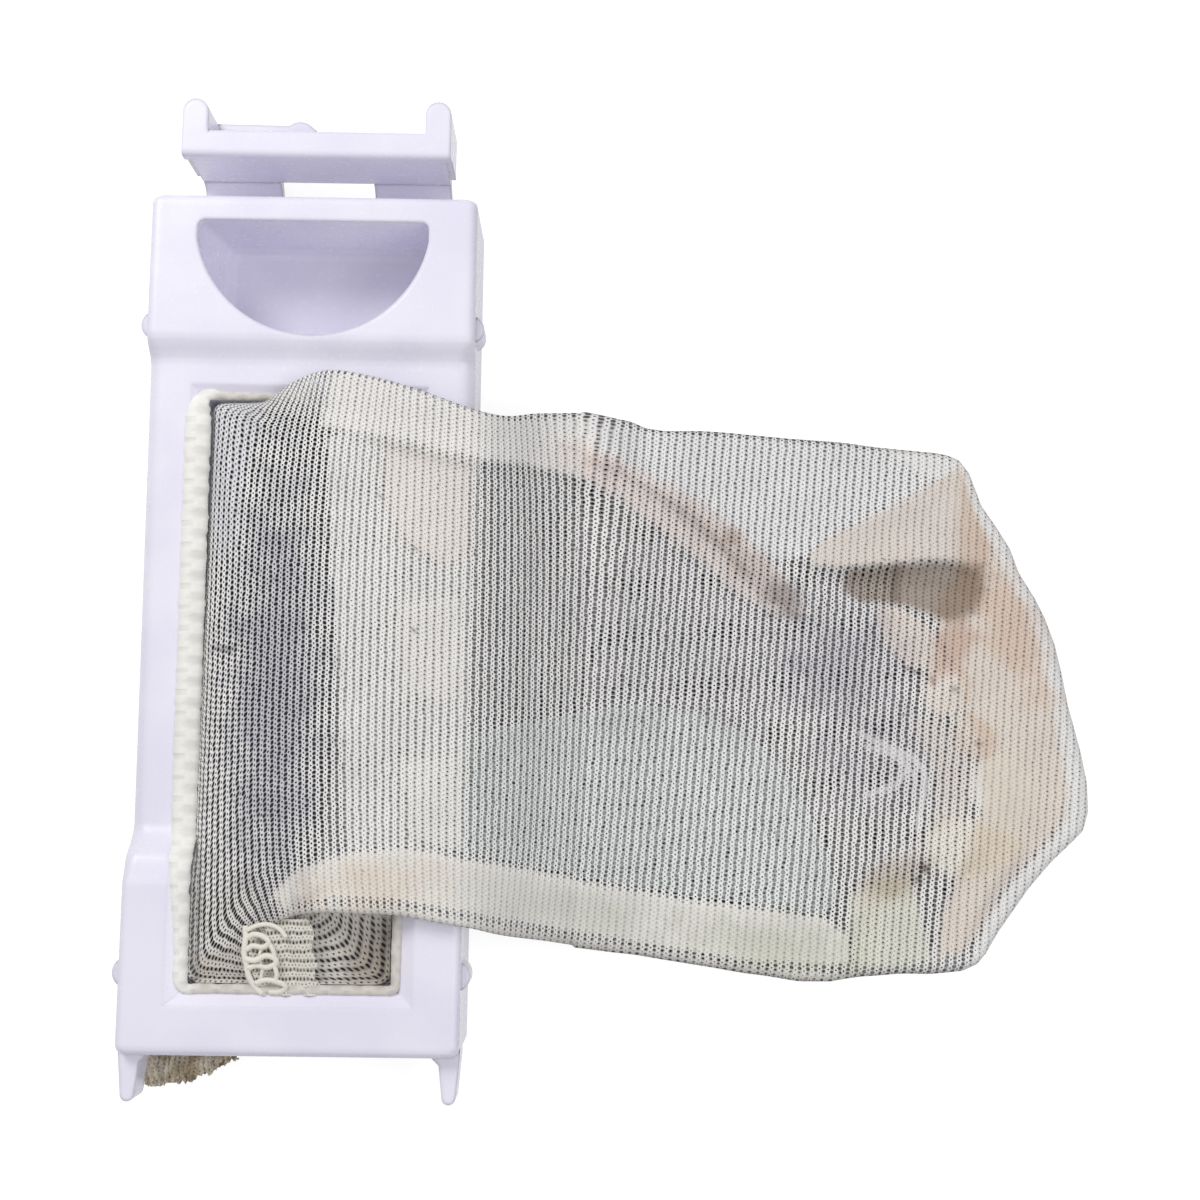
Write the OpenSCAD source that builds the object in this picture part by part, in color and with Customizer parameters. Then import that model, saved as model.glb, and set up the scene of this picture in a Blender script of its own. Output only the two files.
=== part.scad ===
// Lint filter of a top-loading washing machine, lying on the rear rim of its case.
// Z points out of the case's front, Y towards the latch, X towards the side the net bag lies on.
// The origin is the middle of the case's rear rim.

/* [Case] */
// Width of the case
case_w = 58; // [52:1:64]
// Height of the case, from foot to head
case_h = 150; // [140:1:160]
// Depth of the case from the rear rim to the head block's face
case_d = 20; // [18:0.5:24]
// Wall thickness of the moulding
wall = 2; // [1.6:0.1:2.4]
// Height of the rails beside the window's upper end
rail_high = 17.6; // [16:0.1:18.5]
// Height of the rails just above the foot ramp
rail_low = 15.2; // [14:0.1:16]
// Rounding of the edges on the head and foot blocks
block_round = 1.6; // [0.8:0.1:2]
// Rounding of the outer edge of the rails
rail_round = 3.2; // [1.6:0.1:3.6]

/* [Window] */
// Width of the window
window_w = 36.8; // [34:0.2:38]
// Lower end of the window
window_foot = -64.3; // [-66:0.1:-62]
// Upper end of the window
window_head = 38.5; // [36:0.1:40]
// Width of the bevel round the window
bevel_w = 2.6; // [1.5:0.1:3]
// Depth of the bevel round the window
bevel_d = 1.8; // [1:0.1:2]
// Height of the collar's rear edge, where the net is clamped
collar_z = 8; // [7.8:0.1:8.2]

/* [Finger recess] */
// Radius of the D-shaped finger recess
recess_r = 20.8; // [19:0.1:21]
// Height of the recess's straight upper edge on the case
recess_y = 70.2; // [69:0.1:71]
// Half width of the pocket's floor
pocket_floor = 18.8; // [16:0.1:19.5]
// Wall thickness of the pocket
pocket_wall = 1.6; // [1.2:0.1:1.8]

/* [Latch] */
// Width of the latch's leg
leg_w = 46; // [42:1:48]
// Thickness of the latch's leg
leg_t = 2.2; // [2:0.1:2.6]
// Clear gap between the case's head and the leg
latch_gap = 7.1; // [6:0.1:8]
// Overall width of the latch bar
bar_w = 48; // [46:0.5:50]
// Height of the latch bar
bar_h = 4.8; // [4:0.1:5.5]
// Width of one ear
ear_w = 4.6; // [4:0.1:5.5]
// Height of the ears above the bar
ear_rise = 5.6; // [4:0.1:6]
// Depth of the ears behind the bar's face
ear_d = 13; // [10:0.5:13]
// Half width of the slot in the U-bend
slot_half = 8.7; // [6:0.1:10]

/* [Foot and sides] */
// Length of the two prongs
prong_l = 8; // [6:0.5:9]
// Width of a prong at its root
prong_w = 3.6; // [3:0.1:4]
// Radius of the snap lugs on the sides
lug_r = 2.6; // [2.2:0.1:3]
// How far a snap lug stands out of the side
lug_out = 1.5; // [1:0.1:1.8]

/* [Clamp frame] */
// Thickness of the clamp frame
frame_t = 2; // [1.6:0.1:2.2]
// Room between the clamp frame and the side walls
frame_gap = 0.4; // [0.3:0.1:0.6]

/* [Net bag] */
// Thickness of the net's wall in the solid
net_t = 0.5; // [0.4:0.05:0.6]
// Height of a ridge of the net
ridge = 0.3; // [0.1:0.05:0.4]
// How far the bag reaches past the middle of the case
bag_reach = 143; // [138:1:146]

/* [Hidden] */

half_w = case_w / 2;
half_h = case_h / 2;
// The foot ramp's lower and upper ends, and the step below the head block
ramp_low = -36.5;
ramp_high = -43;
foot_start = -46.5;
step_low = 44.5;
step_high = 49.5;
foot_edge = 19.2;
// The lever's hinge line, in the middle of the leg's root
axis_y = half_h + latch_gap + leg_t / 2;
axis_z = 6.7;
bend_y = (axis_y + half_h - wall / 2) / 2;
bend_r = axis_y - bend_y;
knuckle_play = 0.05;
// The side wall's rear edge at the foot stands clear of the floor, so that water can drain
drain_h = 3;
// The pocket behind the finger recess
pocket_top = case_d - wall;
pocket_bottom = 2.2;
pocket_round = 3;
pocket_corner = 1.6;
pocket_soft = 1.8;
pocket_foot = 50;

white = [0.93, 0.92, 0.97];
cream = [0.91, 0.88, 0.80];

function clamp01(t) = min(1, max(0, t));
function ease(t) = let (c = clamp01(t)) c * c * (3 - 2 * c);
function mix(a, b, t) = a + (b - a) * t;

// Outer height of the case at a place along Y
function top_z(y) =
    y > step_low ? mix(rail_high, case_d, ease((y - step_low) / (step_high - step_low))) :
    y > ramp_low ? mix(rail_low, rail_high, (y - ramp_low) / (step_low - ramp_low)) :
    y > ramp_high ? mix(foot_edge, rail_low, ease((y - ramp_high) / (ramp_low - ramp_high))) :
    y > foot_start ? mix(case_d, foot_edge, (y - foot_start) / (ramp_high - foot_start)) : case_d;

// Rounding of the case's long edges at a place along Y
function edge_r(y) = mix(block_round, rail_round, clamp01((case_d - top_z(y)) / (case_d - rail_high)));

// Stations along Y where the case's section is drawn
station_foot = [for (a = [90, 60, 30, 0]) -half_h + block_round * (1 - sin(a))];
station_mid = [-60, -50, foot_start, -44.8, ramp_high, -41.9, -40.8, -39.7, -38.6, -37.5, ramp_low, -20, 0,
    20, 36,
               step_low, 45.5, 46.5, 47.5, 48.5, step_high, 60];
station_head = [for (a = [0, 30, 60, 90]) half_h - block_round * (1 - sin(a))];
stations = concat(station_foot, station_mid, station_head);

// How far the end rounding has drawn the section in
function end_inset(y) =
    let (over = max(0, abs(y) - (half_h - block_round)))
    block_round - sqrt(max(0, block_round * block_round - over * over));

// One section of the case, as points [x, z], from the rim up and over
function case_section(y, inset, base) =
    let (d = end_inset(y), w = half_w - inset - d, h = top_z(y) - inset - d, r = max(0.4,
        edge_r(y) - inset / 2))
    concat([[-w, base], [w, base]],
           [for (a = [0 : 15 : 90]) [w - r + r * cos(a), h - r + r * sin(a)]],
           [for (a = [90 : 15 : 180]) [-w + r + r * cos(a), h - r + r * sin(a)]]);

// A solid through sections of equal point counts, each at its own Y
module loft(sections, ys) {
    n = len(sections[0]);
    m = len(ys);
    points = [for (k = [0 : m - 1]) for (p = sections[k]) [p[0], ys[k], p[1]]];
    sides = [for (k = [0 : m - 2]) for (i = [0 : n - 1])
        let (j = (i + 1) % n, a = k * n + i, b = k * n + j, c = a + n, d = b + n) each [[a, b, d], [a, d,
            c]]];
    caps = [[for (i = [n - 1 : -1 : 0]) i], [for (i = [0 : n - 1]) (m - 1) * n + i]];
    polyhedron(points, concat(sides, caps));
}

// The case's outer form
module case_form() {
    loft([for (y = stations) case_section(y, 0, 0)], stations);
}

// The hollow behind the case's walls, open at the rear
module case_hollow() {
    ys = [for (y = stations) y * (half_h - wall) / half_h];
    loft([for (k = [0 : len(ys) - 1]) case_section(ys[k], wall, -1)], ys);
}

// A flat rectangle with round corners
module round_rect(low, high, r) {
    translate([low[0] + r, low[1]]) square([high[0] - low[0] - 2 * r, high[1] - low[1]]);
    translate([low[0], low[1] + r]) square([high[0] - low[0], high[1] - low[1] - 2 * r]);
    for (x = [low[0] + r, high[0] - r]) for (y = [low[1] + r, high[1] - r]) translate([x, y]) circle(r,
        $fn = 32);
}

module window_outline(grow) {
    translate([-window_w / 2 - grow, window_foot - grow])
        square([window_w + 2 * grow, window_head - window_foot + 2 * grow]);
}

// The bevel that widens the window towards the front, following the rails' height
module window_bevel() {
    half = window_w / 2;
    low_y = window_foot - bevel_w;
    high_y = window_head + bevel_w;
    inner_ys = [window_foot, -60, -50, foot_start, ramp_high, -40, ramp_low, 0, window_head];
    function lip(y, w_low, z_low, w_high) =
        [[-w_low, z_low], [w_low, z_low], [w_high, top_z(y) + 1], [-w_high, top_z(y) + 1]];
    wide = half + bevel_w * (bevel_d + 1) / bevel_d;
    loft(concat([lip(low_y, wide - 0.1, top_z(low_y) + 0.9, wide)],
                [for (y = inner_ys) lip(y, half, top_z(y) - bevel_d, wide)],
                [lip(high_y, wide - 0.1, top_z(high_y) + 0.9, wide)]),
         concat([low_y - 1], inner_ys, [high_y + 1]));
}

// The finger recess's opening in the front wall
module recess_outline() {
    intersection() {
        translate([0, recess_y]) circle(recess_r, $fn = 96);
        round_rect([-recess_r + 0.3, recess_y - recess_r - 1], [recess_r - 0.3, recess_y], 1.4);
    }
}

// The pocket's hollow: wide under the front wall, narrow at its floor
module pocket_form(grow) {
    // Half width, height and inset of the hollow's rim, of its lower edge and of its floor
    levels = [[recess_r, pocket_top + grow, 0], [pocket_floor + 0.15, pocket_bottom + pocket_soft, 0],
              [pocket_floor, pocket_bottom + 0.3 * pocket_soft - 0.7 * grow, 0.3 * pocket_soft],
              [pocket_floor, pocket_bottom - grow, pocket_soft]];
    hull()
        for (level = levels, s = [-1, 1], end = [-1, 1])
            let (round = (end > 0 ? pocket_corner : pocket_round) + grow,
                y = end > 0 ? recess_y : pocket_foot)
            translate([s * (level[0] - level[2] - round + grow), y - end * (level[2] + round - grow),
                level[1]])
                cylinder(r = round, h = 0.01, $fn = 32);
}

module prong(side) {
    tip_r = 1.2;
    translate([0, 0, case_d - 10])
        linear_extrude(6.5) {
            polygon([[side * half_w, -half_h + 3], [side * half_w, -half_h], [side * (half_w - 0.6),
                -half_h - prong_l + tip_r],
                     [side * (half_w - 0.6 - 2 * tip_r), -half_h - prong_l + tip_r],
                     [side * (half_w - prong_w), -half_h - 1.5], [side * (half_w - prong_w - 1.5), -half_h],
                     [side * (half_w - prong_w - 1.5), -half_h + 3]]);
            translate([side * (half_w - 0.6 - tip_r), -half_h - prong_l + tip_r]) circle(tip_r, $fn = 32);
        }
}

// A round lug that snaps behind the edge of the tub's slot
module lug(side, y) {
    translate([side * (half_w + lug_out - lug_r), y, case_d - 9])
        cylinder(r = lug_r, h = 6, $fn = 48);
}

// The lower half of the latch's U-bend, with a seat for the lever's knuckle
module latch_bend() {
    difference() {
        translate([-leg_w / 2, bend_y, axis_z]) rotate([90, 0, 90]) linear_extrude(leg_w)
            difference() {
                circle(bend_r + leg_t / 2, $fn = 96);
                circle(bend_r - leg_t / 2, $fn = 96);
                translate([-20, 0]) square([40, 20]);
                translate([bend_r - 2, -0.6]) square([4, 2]);
            }
        translate([-leg_w, axis_y, axis_z]) rotate([0, 90, 0])
            cylinder(r = leg_t / 2 + knuckle_play, h = 2 * leg_w, $fn = 64);
        translate([-slot_half, bend_y + 0.5, 0]) cube([2 * slot_half, 2 * bend_r, axis_z]);
    }
}

// Wedges on the side walls that hold the clamp frame
module frame_catches() {
    catch_out = 1.6;
    catch_l = 5;
    top = collar_z - 0.5 - frame_t;
    for (s = [-1, 1]) for (y = [-52, -13, 30])
        translate([s * (half_w - wall + 0.2), y + catch_l / 2, 0]) rotate([90, 0, 0]) linear_extrude(catch_l)
            polygon([[0, top - 3], [0, top], [-s * (catch_out + 0.2), top], [-s * (catch_out + 0.2),
                top - 0.8]]);
}

module front_case() color(white)
    difference() {
        union() {
            difference() {
                case_form();
                case_hollow();
                translate([-half_w + wall, -half_h - 1, -1]) cube([case_w - 2 * wall, wall + 2, drain_h + 1]);
            }
            intersection() {
                case_form();
                union() {
                    translate([0, 0, collar_z]) linear_extrude(case_d) window_outline(wall - 0.2);
                    pocket_form(pocket_wall);
                }
            }
            for (s = [-1, 1]) {
                prong(s);
                lug(s, 51.6);
                lug(s, -61.5);
            }
            latch_bend();
            frame_catches();
        }
        translate([0, 0, -1]) linear_extrude(case_d + 2) window_outline(0);
        window_bevel();
        translate([0, 0, pocket_top - 0.01]) linear_extrude(wall + 3) recess_outline();
        pocket_form(0);
    }

module latch_lever() color(white) {
    bar_y = half_h + latch_gap;
    bar_t = 3.4;
    ear_top = bar_y + bar_h + ear_rise;
    ear_r = ear_w / 2;
    // Leg with its knuckle
    translate([-leg_w / 2, bar_y, axis_z]) cube([leg_w, leg_t, case_d - 1 - axis_z]);
    translate([-leg_w / 2, axis_y, axis_z]) rotate([0, 90, 0]) cylinder(r = leg_t / 2, h = leg_w, $fn = 64);
    // Bar with round edges
    translate([-bar_w / 2, 0, 0]) rotate([90, 0, 90]) linear_extrude(bar_w)
        round_rect([bar_y, case_d - bar_t], [bar_y + bar_h, case_d], 0.9);
    // Ears with round heads
    for (s = [-1, 1]) translate([0, 0, case_d - ear_d]) linear_extrude(ear_d) {
        translate([s * (bar_w / 2 - ear_r), ear_top - ear_r]) circle(ear_r, $fn = 48);
        translate([s * (bar_w / 2 - ear_r) - ear_r, bar_y + 0.8]) square([ear_w,
            ear_top - ear_r - bar_y - 0.8]);
    }
    // Web behind the bar, from the left ear to a round pad
    translate([0, 0, case_d - 10.5]) linear_extrude(1.6) {
        polygon([[-bar_w / 2 + 1, bar_y + 1], [-1.5, bar_y + 1], [-1.5, 90.4], [-2.5, 91.2],
            [-bar_w / 2 + 1, 91.4]]);
        translate([-4.5, 89]) circle(3, $fn = 48);
    }
}

module net_clamp_frame() color([0.90, 0.89, 0.93]) {
    edge = half_w - wall - frame_gap;
    top = collar_z - 0.5;
    difference() {
        translate([0, 0, top - frame_t]) linear_extrude(frame_t)
            difference() {
                round_rect([-edge, window_foot - 6.2], [edge, window_head + 6.2], 2);
                window_outline(0);
            }
        // Lightening grooves in the long sides and steps for the catches
        for (s = [-1, 1]) translate([s * (window_w / 2 + 4), -12, top - frame_t - 1])
            linear_extrude(1.8) round_rect([-1.2, -42], [1.2, 42], 1);
    }
}

// The net's route, ring by ring, from its flange to where it lies flat: the middle of the
// upper and lower layers as [x, z], then the foot fold and the head fold as [x, y, z]
net_route = [
    [[-22.6, 7.75], [22.6, 7.75], [0, -68.3, 7.75], [0, 42.6, 7.75]],
    [[-17.6, 7.75], [17.6, 7.75], [0, -63.4, 7.75], [0, 37.6, 7.75]],
    [[-17.6, 11.6], [17.6, 13.0], [0, -63.4, 12.8], [0, 37.6, 12.6]],
    [[-17.4, 14.8], [17.6, 17.0], [0, -63.2, 16.6], [0, 37.6, 16.2]],
    [[-15.8, 17.6], [18.0, 19.6], [1.5, -63.3, 19.2], [0, 38.4, 18.8]],
    [[-11.8, 19.7], [18.9, 20.7], [6, -63.3, 20.8], [2, 39.6, 20.2]],
    [[-6.0, 21.1], [20.2, 21.2], [11, -63.2, 21.8], [6, 41.0, 21.1]],
    [[1.5, 22.3], [21.7, 21.4], [15.6, -63.2, 22.4], [11, 42.0, 21.8]],
    [[9.0, 23.2], [23.4, 21.5], [19.8, -62.9, 22.7], [16, 42.2, 22.3]],
    [[17.0, 23.8], [25.2, 21.5], [24, -61.6, 22.8], [21, 41.8, 22.6]],
    [[24.5, 23.9], [27.4, 21.3], [27.4, -60.0, 22.5], [26.2, 41.2, 22.4]],
    [[31.5, 22.6], [31.4, 19.2], [31.5, -58.2, 20.8], [31.5, 40.8, 20.8]],
    [[37.5, 18.4], [34.2, 12.6], [36, -57.2, 15.4], [36, 40.6, 15.4]],
    [[43.5, 12.8], [38.2, 6.2], [41, -57.2, 9.4], [41, 40.6, 9.4]],
    [[50.5, 8.0], [45.5, 2.2], [48, -57.8, 5.0], [48, 40.6, 5.0]]
];
// Where the bag lies flat, from its start to its far end
lay_start = 57;
lay_strands = 11;
strand_share = 0.32;
lay_low = 1.1;
lay_high = 5.0;
close_high = 2.8;
fold_start = 0.77;
// Share of the half width at which the flat bag starts to turn into its folds
fold_share = 0.965;
route_n = len(net_route);
// Share of the net's thickness that the clamped flange keeps
flange_share = 0.88;

// Places across a layer, from its middle to the fold: strands and gaps by turns
half_top = [0.03, 0.17, 0.23, 0.37, 0.43, 0.57, 0.63, fold_start, 0.86, 0.95];
half_bottom = [0.17, 0.43, 0.63, fold_start, 0.86, 0.95];
across = concat([-1], [for (k = [len(half_top) - 1 : -1 : 0]) -half_top[k]], half_top, [1],
                [for (k = [len(half_bottom) - 1 : -1 : 0]) half_bottom[k]], [for (u = half_bottom) -u]);
top_count = 2 * len(half_top) + 2;
ring_n = len(across);
lay_steps = concat([0], [for (k = [0 : lay_strands - 1]) each [(k + 1 - strand_share) / lay_strands,
    (k + 1) / lay_strands]]);
lay_share = 0.93;
ring_m = len(net_route) + len(lay_steps) + 2;
end_steps = [0.975, 1];

// Outline of the bag's far end, as X over the place across
function end_x(u) = u > -0.3 ? bag_reach - 21 * pow((u + 0.3) / 1.3,
    1.8) : bag_reach - 20 * pow((-0.3 - u) / 0.7, 1.7);
function lay_foot(t) = -58.4 - 3.2 * sin(180 * clamp01(t * 1.1));
function lay_head(t) = mix(40.4, 34.4, pow(t, 1.3));

// A raised fold along the line from a to b
function fold(x, y, a, b, w, high) =
    let (ab = b - a, t = clamp01(([x, y] - a) * ab / (ab * ab)), d = norm([x, y] - a - ab * t))
    high * exp(-d * d / (w * w));
function lay_folds(x, y) =
    fold(x, y, [52, 31], [84, 2], 5, 1.6) + fold(x, y, [30, -46], [93, -53], 4, 0.9) +
    fold(x, y, [30, 26], [118, 29], 5, 1.1) + fold(x, y, [88, 11], [126, 5], 4.5, 1.5) +
    fold(x, y, [98, -55], [127, -33], 5, 1.0);
// Gathers that fan out from the window's corners
function gathers(u, k) =
    let (near = ease((abs(u) - 0.3) / 0.15) * (1 - ease((abs(u) - 0.68) / 0.09)) * ease((k - 4) / 2) * (1 - ease((k - 8) / 4)))
    0.5 * near * cos(abs(u) * 360 / 0.13 + k * 40);

// How far a place has turned into the fold, and how flat the bag lies on a ring
function turn(u) = clamp01((abs(u) - fold_start) / (1 - fold_start));
function flatness(k) = clamp01((k - 3) / 6);
// Share of the bag's half width at a place: evenly round the window, then as a flat bag
function open_share(u) = min(1, abs(u) / fold_start);
function flat_share(u) = mix(fold_share * open_share(u), 1, turn(u));
function fold_curve(u) = 1 - sqrt(max(0, 1 - turn(u) * turn(u)));

// Middle surface of the net between its flange and the floor, on ring k at place u
function route_point(k, u, upper) =
    let (row = net_route[k], side = upper ? row[0] : row[1], f = u < 0 ? row[2] : row[3],
         mid = (row[2][1] + row[3][1]) / 2, flat = flatness(k))
    [mix(side[0], f[0], turn(u)),
     mid + (f[1] - mid) * mix(open_share(u), flat_share(u), flat),
     mix(side[1], f[2], mix(turn(u), fold_curve(u), flat)) + (upper ? gathers(u, k) : 0)];
// Middle surface of the net where it lies flat, s being 0 at its start and 1 at its far end
function laid_point(s, u, upper) =
    let (foot = lay_foot(s), head = lay_head(s), x = mix(lay_start, end_x(u), s),
         y = (foot + head) / 2 + (head - foot) / 2 * flat_share(u) * sign(u),
             closing = ease((s - 0.75) / 0.22),
         high = mix(lay_high + lay_folds(x, y), close_high, closing), mid = (mix(lay_high, close_high,
             closing) + lay_low) / 2)
    [x, y, mix(upper ? high : lay_low, mid, fold_curve(u))];
function laid_s(n) = n < len(lay_steps) ? lay_steps[n] * lay_share : end_steps[n - len(lay_steps)];
function net_point(k, u, upper) =
    k < route_n ? route_point(k, u, upper) : laid_point(laid_s(k - route_n), u, upper);

// Outward direction of the net's surface there
function unit(v) = v / max(norm(v), 1e-6);
function side_out(k, upper) =
    k >= route_n ? [0, 0, upper ? 1 : -1] :
    let (s = upper ? 0 : 1, a = net_route[max(2, k) - 1][s], b = net_route[min(route_n - 1, max(2,
        k) + 1)][s],
         v = unit([a[1] - b[1], 0, b[0] - a[0]]))
    upper ? v : -v;
function net_out(k, u, upper) =
    let (corner = turn(u) > 0 ? 1 : abs(u) < fold_start ? 0 : 0.5, flat = flatness(k),
         v = unit(mix(side_out(k, upper), [0, sign(u), 0], mix(corner, turn(u), flat))))
    k == 0 ? [0, 0, 1] : k == 1 ? unit(v + [0, 0, 1]) : v;
function is_upper(j) = j < top_count;
function net_vertex(k, j, off) =
    let (u = across[j], wave = is_upper(j) && turn(u) == 0 && k > 4 && k % 2 == 0 && off > 0 ? ridge : 0,
         back = k == ring_m - 1 && off < 0 ? [-net_t, 0, 0] : [0, 0, 0])
    net_point(k, u, is_upper(j)) + net_out(k, u,
        is_upper(j)) * (k < 2 ? off * flange_share : off + wave) + back;

// The gaps: every second step both ways in the upper layer
function is_gap(k, j) =
    is_upper(j) && j < top_count - 1 && abs(across[j] + across[j + 1]) < 1.42 && abs(across[j] - across[j + 1]) > 0.1 &&
    ((k >= len(net_route) && k < len(net_route) + 2 * lay_strands && (k - len(net_route)) % 2 == 0) ||
     k == 6 || k == 8 || k == 10);

module net_pouch() {
    outer = [for (k = [0 : ring_m - 1]) for (j = [0 : ring_n - 1]) net_vertex(k, j, net_t / 2)];
    inner = [for (k = [0 : ring_m - 1]) for (j = [0 : ring_n - 1]) net_vertex(k, j, -net_t / 2)];
    shift = ring_m * ring_n;
    function id(k, j, layer) = k * ring_n + j % ring_n + layer * shift;
    walls = [for (k = [0 : ring_m - 2]) for (j = [0 : ring_n - 1]) if (!is_gap(k, j))
        let (a = id(k, j, 0), b = id(k, j + 1, 0), c = id(k + 1, j, 0), d = id(k + 1, j + 1, 0))
        each [[a, d, c], [a, b, d], [a + shift, c + shift, d + shift], [a + shift, d + shift, b + shift]]];
    gap_sides = [for (k = [0 : ring_m - 2]) for (j = [0 : ring_n - 1]) if (is_gap(k, j))
        let (q = [id(k, j, 0), id(k, j + 1, 0), id(k + 1, j + 1, 0), id(k + 1, j, 0)])
        for (i = [0 : 3]) let (p = q[i], r = q[(i + 1) % 4]) each [[p, r, p + shift], [r, r + shift,
            p + shift]]];
    rim = [for (j = [0 : ring_n - 1]) let (a = id(0, j, 0), b = id(0, j + 1, 0))
        each [[b, a, b + shift], [a, a + shift, b + shift]]];
    // The far end is closed by a strip between the upper and the lower layer
    base = (ring_m - 1) * ring_n;
    lower = concat([0], [for (j = [ring_n - 1 : -1 : top_count - 1]) j]);
    function zip(i, l) =
        i == top_count - 1 && l == len(lower) - 1 ? [] :
        l == len(lower) - 1 || (i < top_count - 1 && across[i + 1] <= across[lower[l + 1]]) ?
            concat([[i, i + 1, lower[l]]], zip(i + 1, l)) :
            concat([[i, lower[l + 1], lower[l]]], zip(i, l + 1));
    strip = [for (f = zip(0, 0)) if (f[0] != f[1] && f[1] != f[2] && f[0] != f[2]) f];
    cap_out = [for (f = strip) [f[0] + base, f[1] + base, f[2] + base]];
    cap_in = [for (f = strip) [f[0] + base + shift, f[2] + base + shift, f[1] + base + shift]];
    polyhedron(concat(outer, inner), concat(walls, gap_sides, rim, cap_out, cap_in));
}

// The frayed allowance that hangs out at the foot of the case
module frayed_edge() {
    ends = [-79.6, -80.8, -79.9, -81.4, -80.4];
    for (i = [0 : 4])
        translate([-26 + i * 2.8, 0, 0]) rotate([90, 0, 90]) linear_extrude(2.8 + (i < 4 ? 0.1 : 0))
            polygon([[-67.6, 7.6], [-70.95, 7.6], [-71.15, 2.3], [-72.4, 0.75], [ends[i], 0.7], [ends[i],
                1.3],
                     [-72.7, 1.4], [-71.6, 2.6], [-71.35, 7.9], [-67.6, 7.9]]);
}

module net_bag() color(cream) {
    net_pouch();
    frayed_edge();
}

// A flat ribbon along a path, with a scalloped edge
module ribbon(path, w, t, scallop) {
    m = len(path);
    function side(k) =
        let (a = path[max(0, k - 1)], b = path[min(m - 1, k + 1)]) unit([a[1] - b[1], b[0] - a[0], 0]);
    points = [for (k = [0 : m - 1]) let (n = side(k) * (w / 2 + (k % 2 == 0 ? scallop : 0)), up = [0, 0,
        t / 2])
        each [path[k] - n - up, path[k] + n - up, path[k] + n + up, path[k] - n + up]];
    sides = [for (k = [0 : m - 2]) for (i = [0 : 3])
        let (a = 4 * k + i, b = 4 * k + (i + 1) % 4) each [[a, b + 4, b], [a, a + 4, b + 4]]];
    polyhedron(points, concat([[0, 1, 2, 3]], sides, [[for (i = [3 : -1 : 0]) 4 * (m - 1) + i]]));
}

// Points spaced evenly along straight stretches between chosen points
function refine(path, n) = concat([for (k = [0 : len(path) - 2]) for (i = [0 : n - 1]) mix(path[k],
    path[k + 1], i / n)],
                                  [path[len(path) - 1]]);

module side_seam() color(cream)
    ribbon(refine([[4, -60.4, 19.6], [8, -60.2, 20.6], [12, -60.0, 21.5], [18, -59.6, 22.4], [24, -58.4,
        22.7],
                   [28, -57.0, 22.1], [32, -55.6, 19.9], [36, -54.4, 15.2], [41, -54.2, 9.2], [48, -54.8,
                       4.9],
                   [57, -55.4, 3.0], [75, -57.4, 2.9], [92, -57.8, 2.9], [103, -57.0, 2.9]], 3), 2.6, 0.5,
                       0.25);

module end_seam() color(cream)
    ribbon(refine([[102, 7, 3.0], [109, -1, 3.0], [116, -9.5, 3.0], [122, -20, 3.0], [126, -32, 3.0],
                   [122, -43, 3.0]], 4), 4.6, 0.8, 0.4);

// One loose thread, as a thin six-sided tube along its points
module tail(path) {
    r = 0.25;
    m = len(path);
    points = [for (k = [0 : m - 1])
        let (a = path[max(0, k - 1)], b = path[min(m - 1, k + 1)], d = unit(b - a), s = unit([-d[1], d[0],
            0]), v = cross(d, s))
        for (i = [0 : 5]) path[k] + r * (s * cos(60 * i) + v * sin(60 * i))];
    sides = [for (k = [0 : m - 2]) for (i = [0 : 5])
        let (a = 6 * k + i, b = 6 * k + (i + 1) % 6) each [[a, b + 6, b], [a, a + 6, b + 6]]];
    polyhedron(points, concat([[for (i = [0 : 5]) i]], sides, [[for (i = [5 : -1 : 0]) 6 * (m - 1) + i]]));
}

module thread_tails() color(cream) {
    tail([[100.6, -18.6, 6.2], [104, -18.9, 6.4], [108, -20.3, 6.4], [110.4, -22.6, 6.2], [109.4, -25.4,
        6.2], [106.6, -27.4, 6.2]]);
    tail([[101.2, -21.4, 6.2], [104.6, -21.8, 6.4], [107.0, -23.8, 6.2]]);
}

front_case();
latch_lever();
net_clamp_frame();
net_bag();
side_seam();
end_seam();
thread_tails();
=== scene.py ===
import math

import bpy
import numpy as np
from mathutils import Matrix, Vector, geometry, noise


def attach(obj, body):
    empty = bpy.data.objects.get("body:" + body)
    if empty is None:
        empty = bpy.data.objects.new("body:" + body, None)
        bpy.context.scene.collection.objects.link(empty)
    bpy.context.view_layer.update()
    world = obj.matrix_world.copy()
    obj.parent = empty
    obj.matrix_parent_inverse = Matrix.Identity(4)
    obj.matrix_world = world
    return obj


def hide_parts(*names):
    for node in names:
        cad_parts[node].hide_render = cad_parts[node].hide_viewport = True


bl_info = {
    "name": "Lint filter dressing",
    "version": (1, 1, 0),
    "blender": (4, 5, 0),
    "location": "View3D > Sidebar > Lint filter",
    "description": "Dresses the packed solids of a washing machine lint filter as a finished product",
    "category": "Object",
}

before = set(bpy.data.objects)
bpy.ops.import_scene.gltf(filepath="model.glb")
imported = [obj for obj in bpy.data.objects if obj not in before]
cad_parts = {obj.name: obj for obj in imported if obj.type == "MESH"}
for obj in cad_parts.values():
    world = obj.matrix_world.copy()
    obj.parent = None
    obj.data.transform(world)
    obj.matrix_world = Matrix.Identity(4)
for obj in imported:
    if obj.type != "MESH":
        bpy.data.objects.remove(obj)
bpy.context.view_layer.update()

MM = 0.001
BODY = "case"


# Small helpers

def clamp(value, low=0.0, high=1.0):
    return np.minimum(high, np.maximum(low, value))


def ease(value):
    t = clamp(value)
    return t * t * (3 - 2 * t)


def mix(a, b, t):
    return a + (b - a) * t


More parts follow.
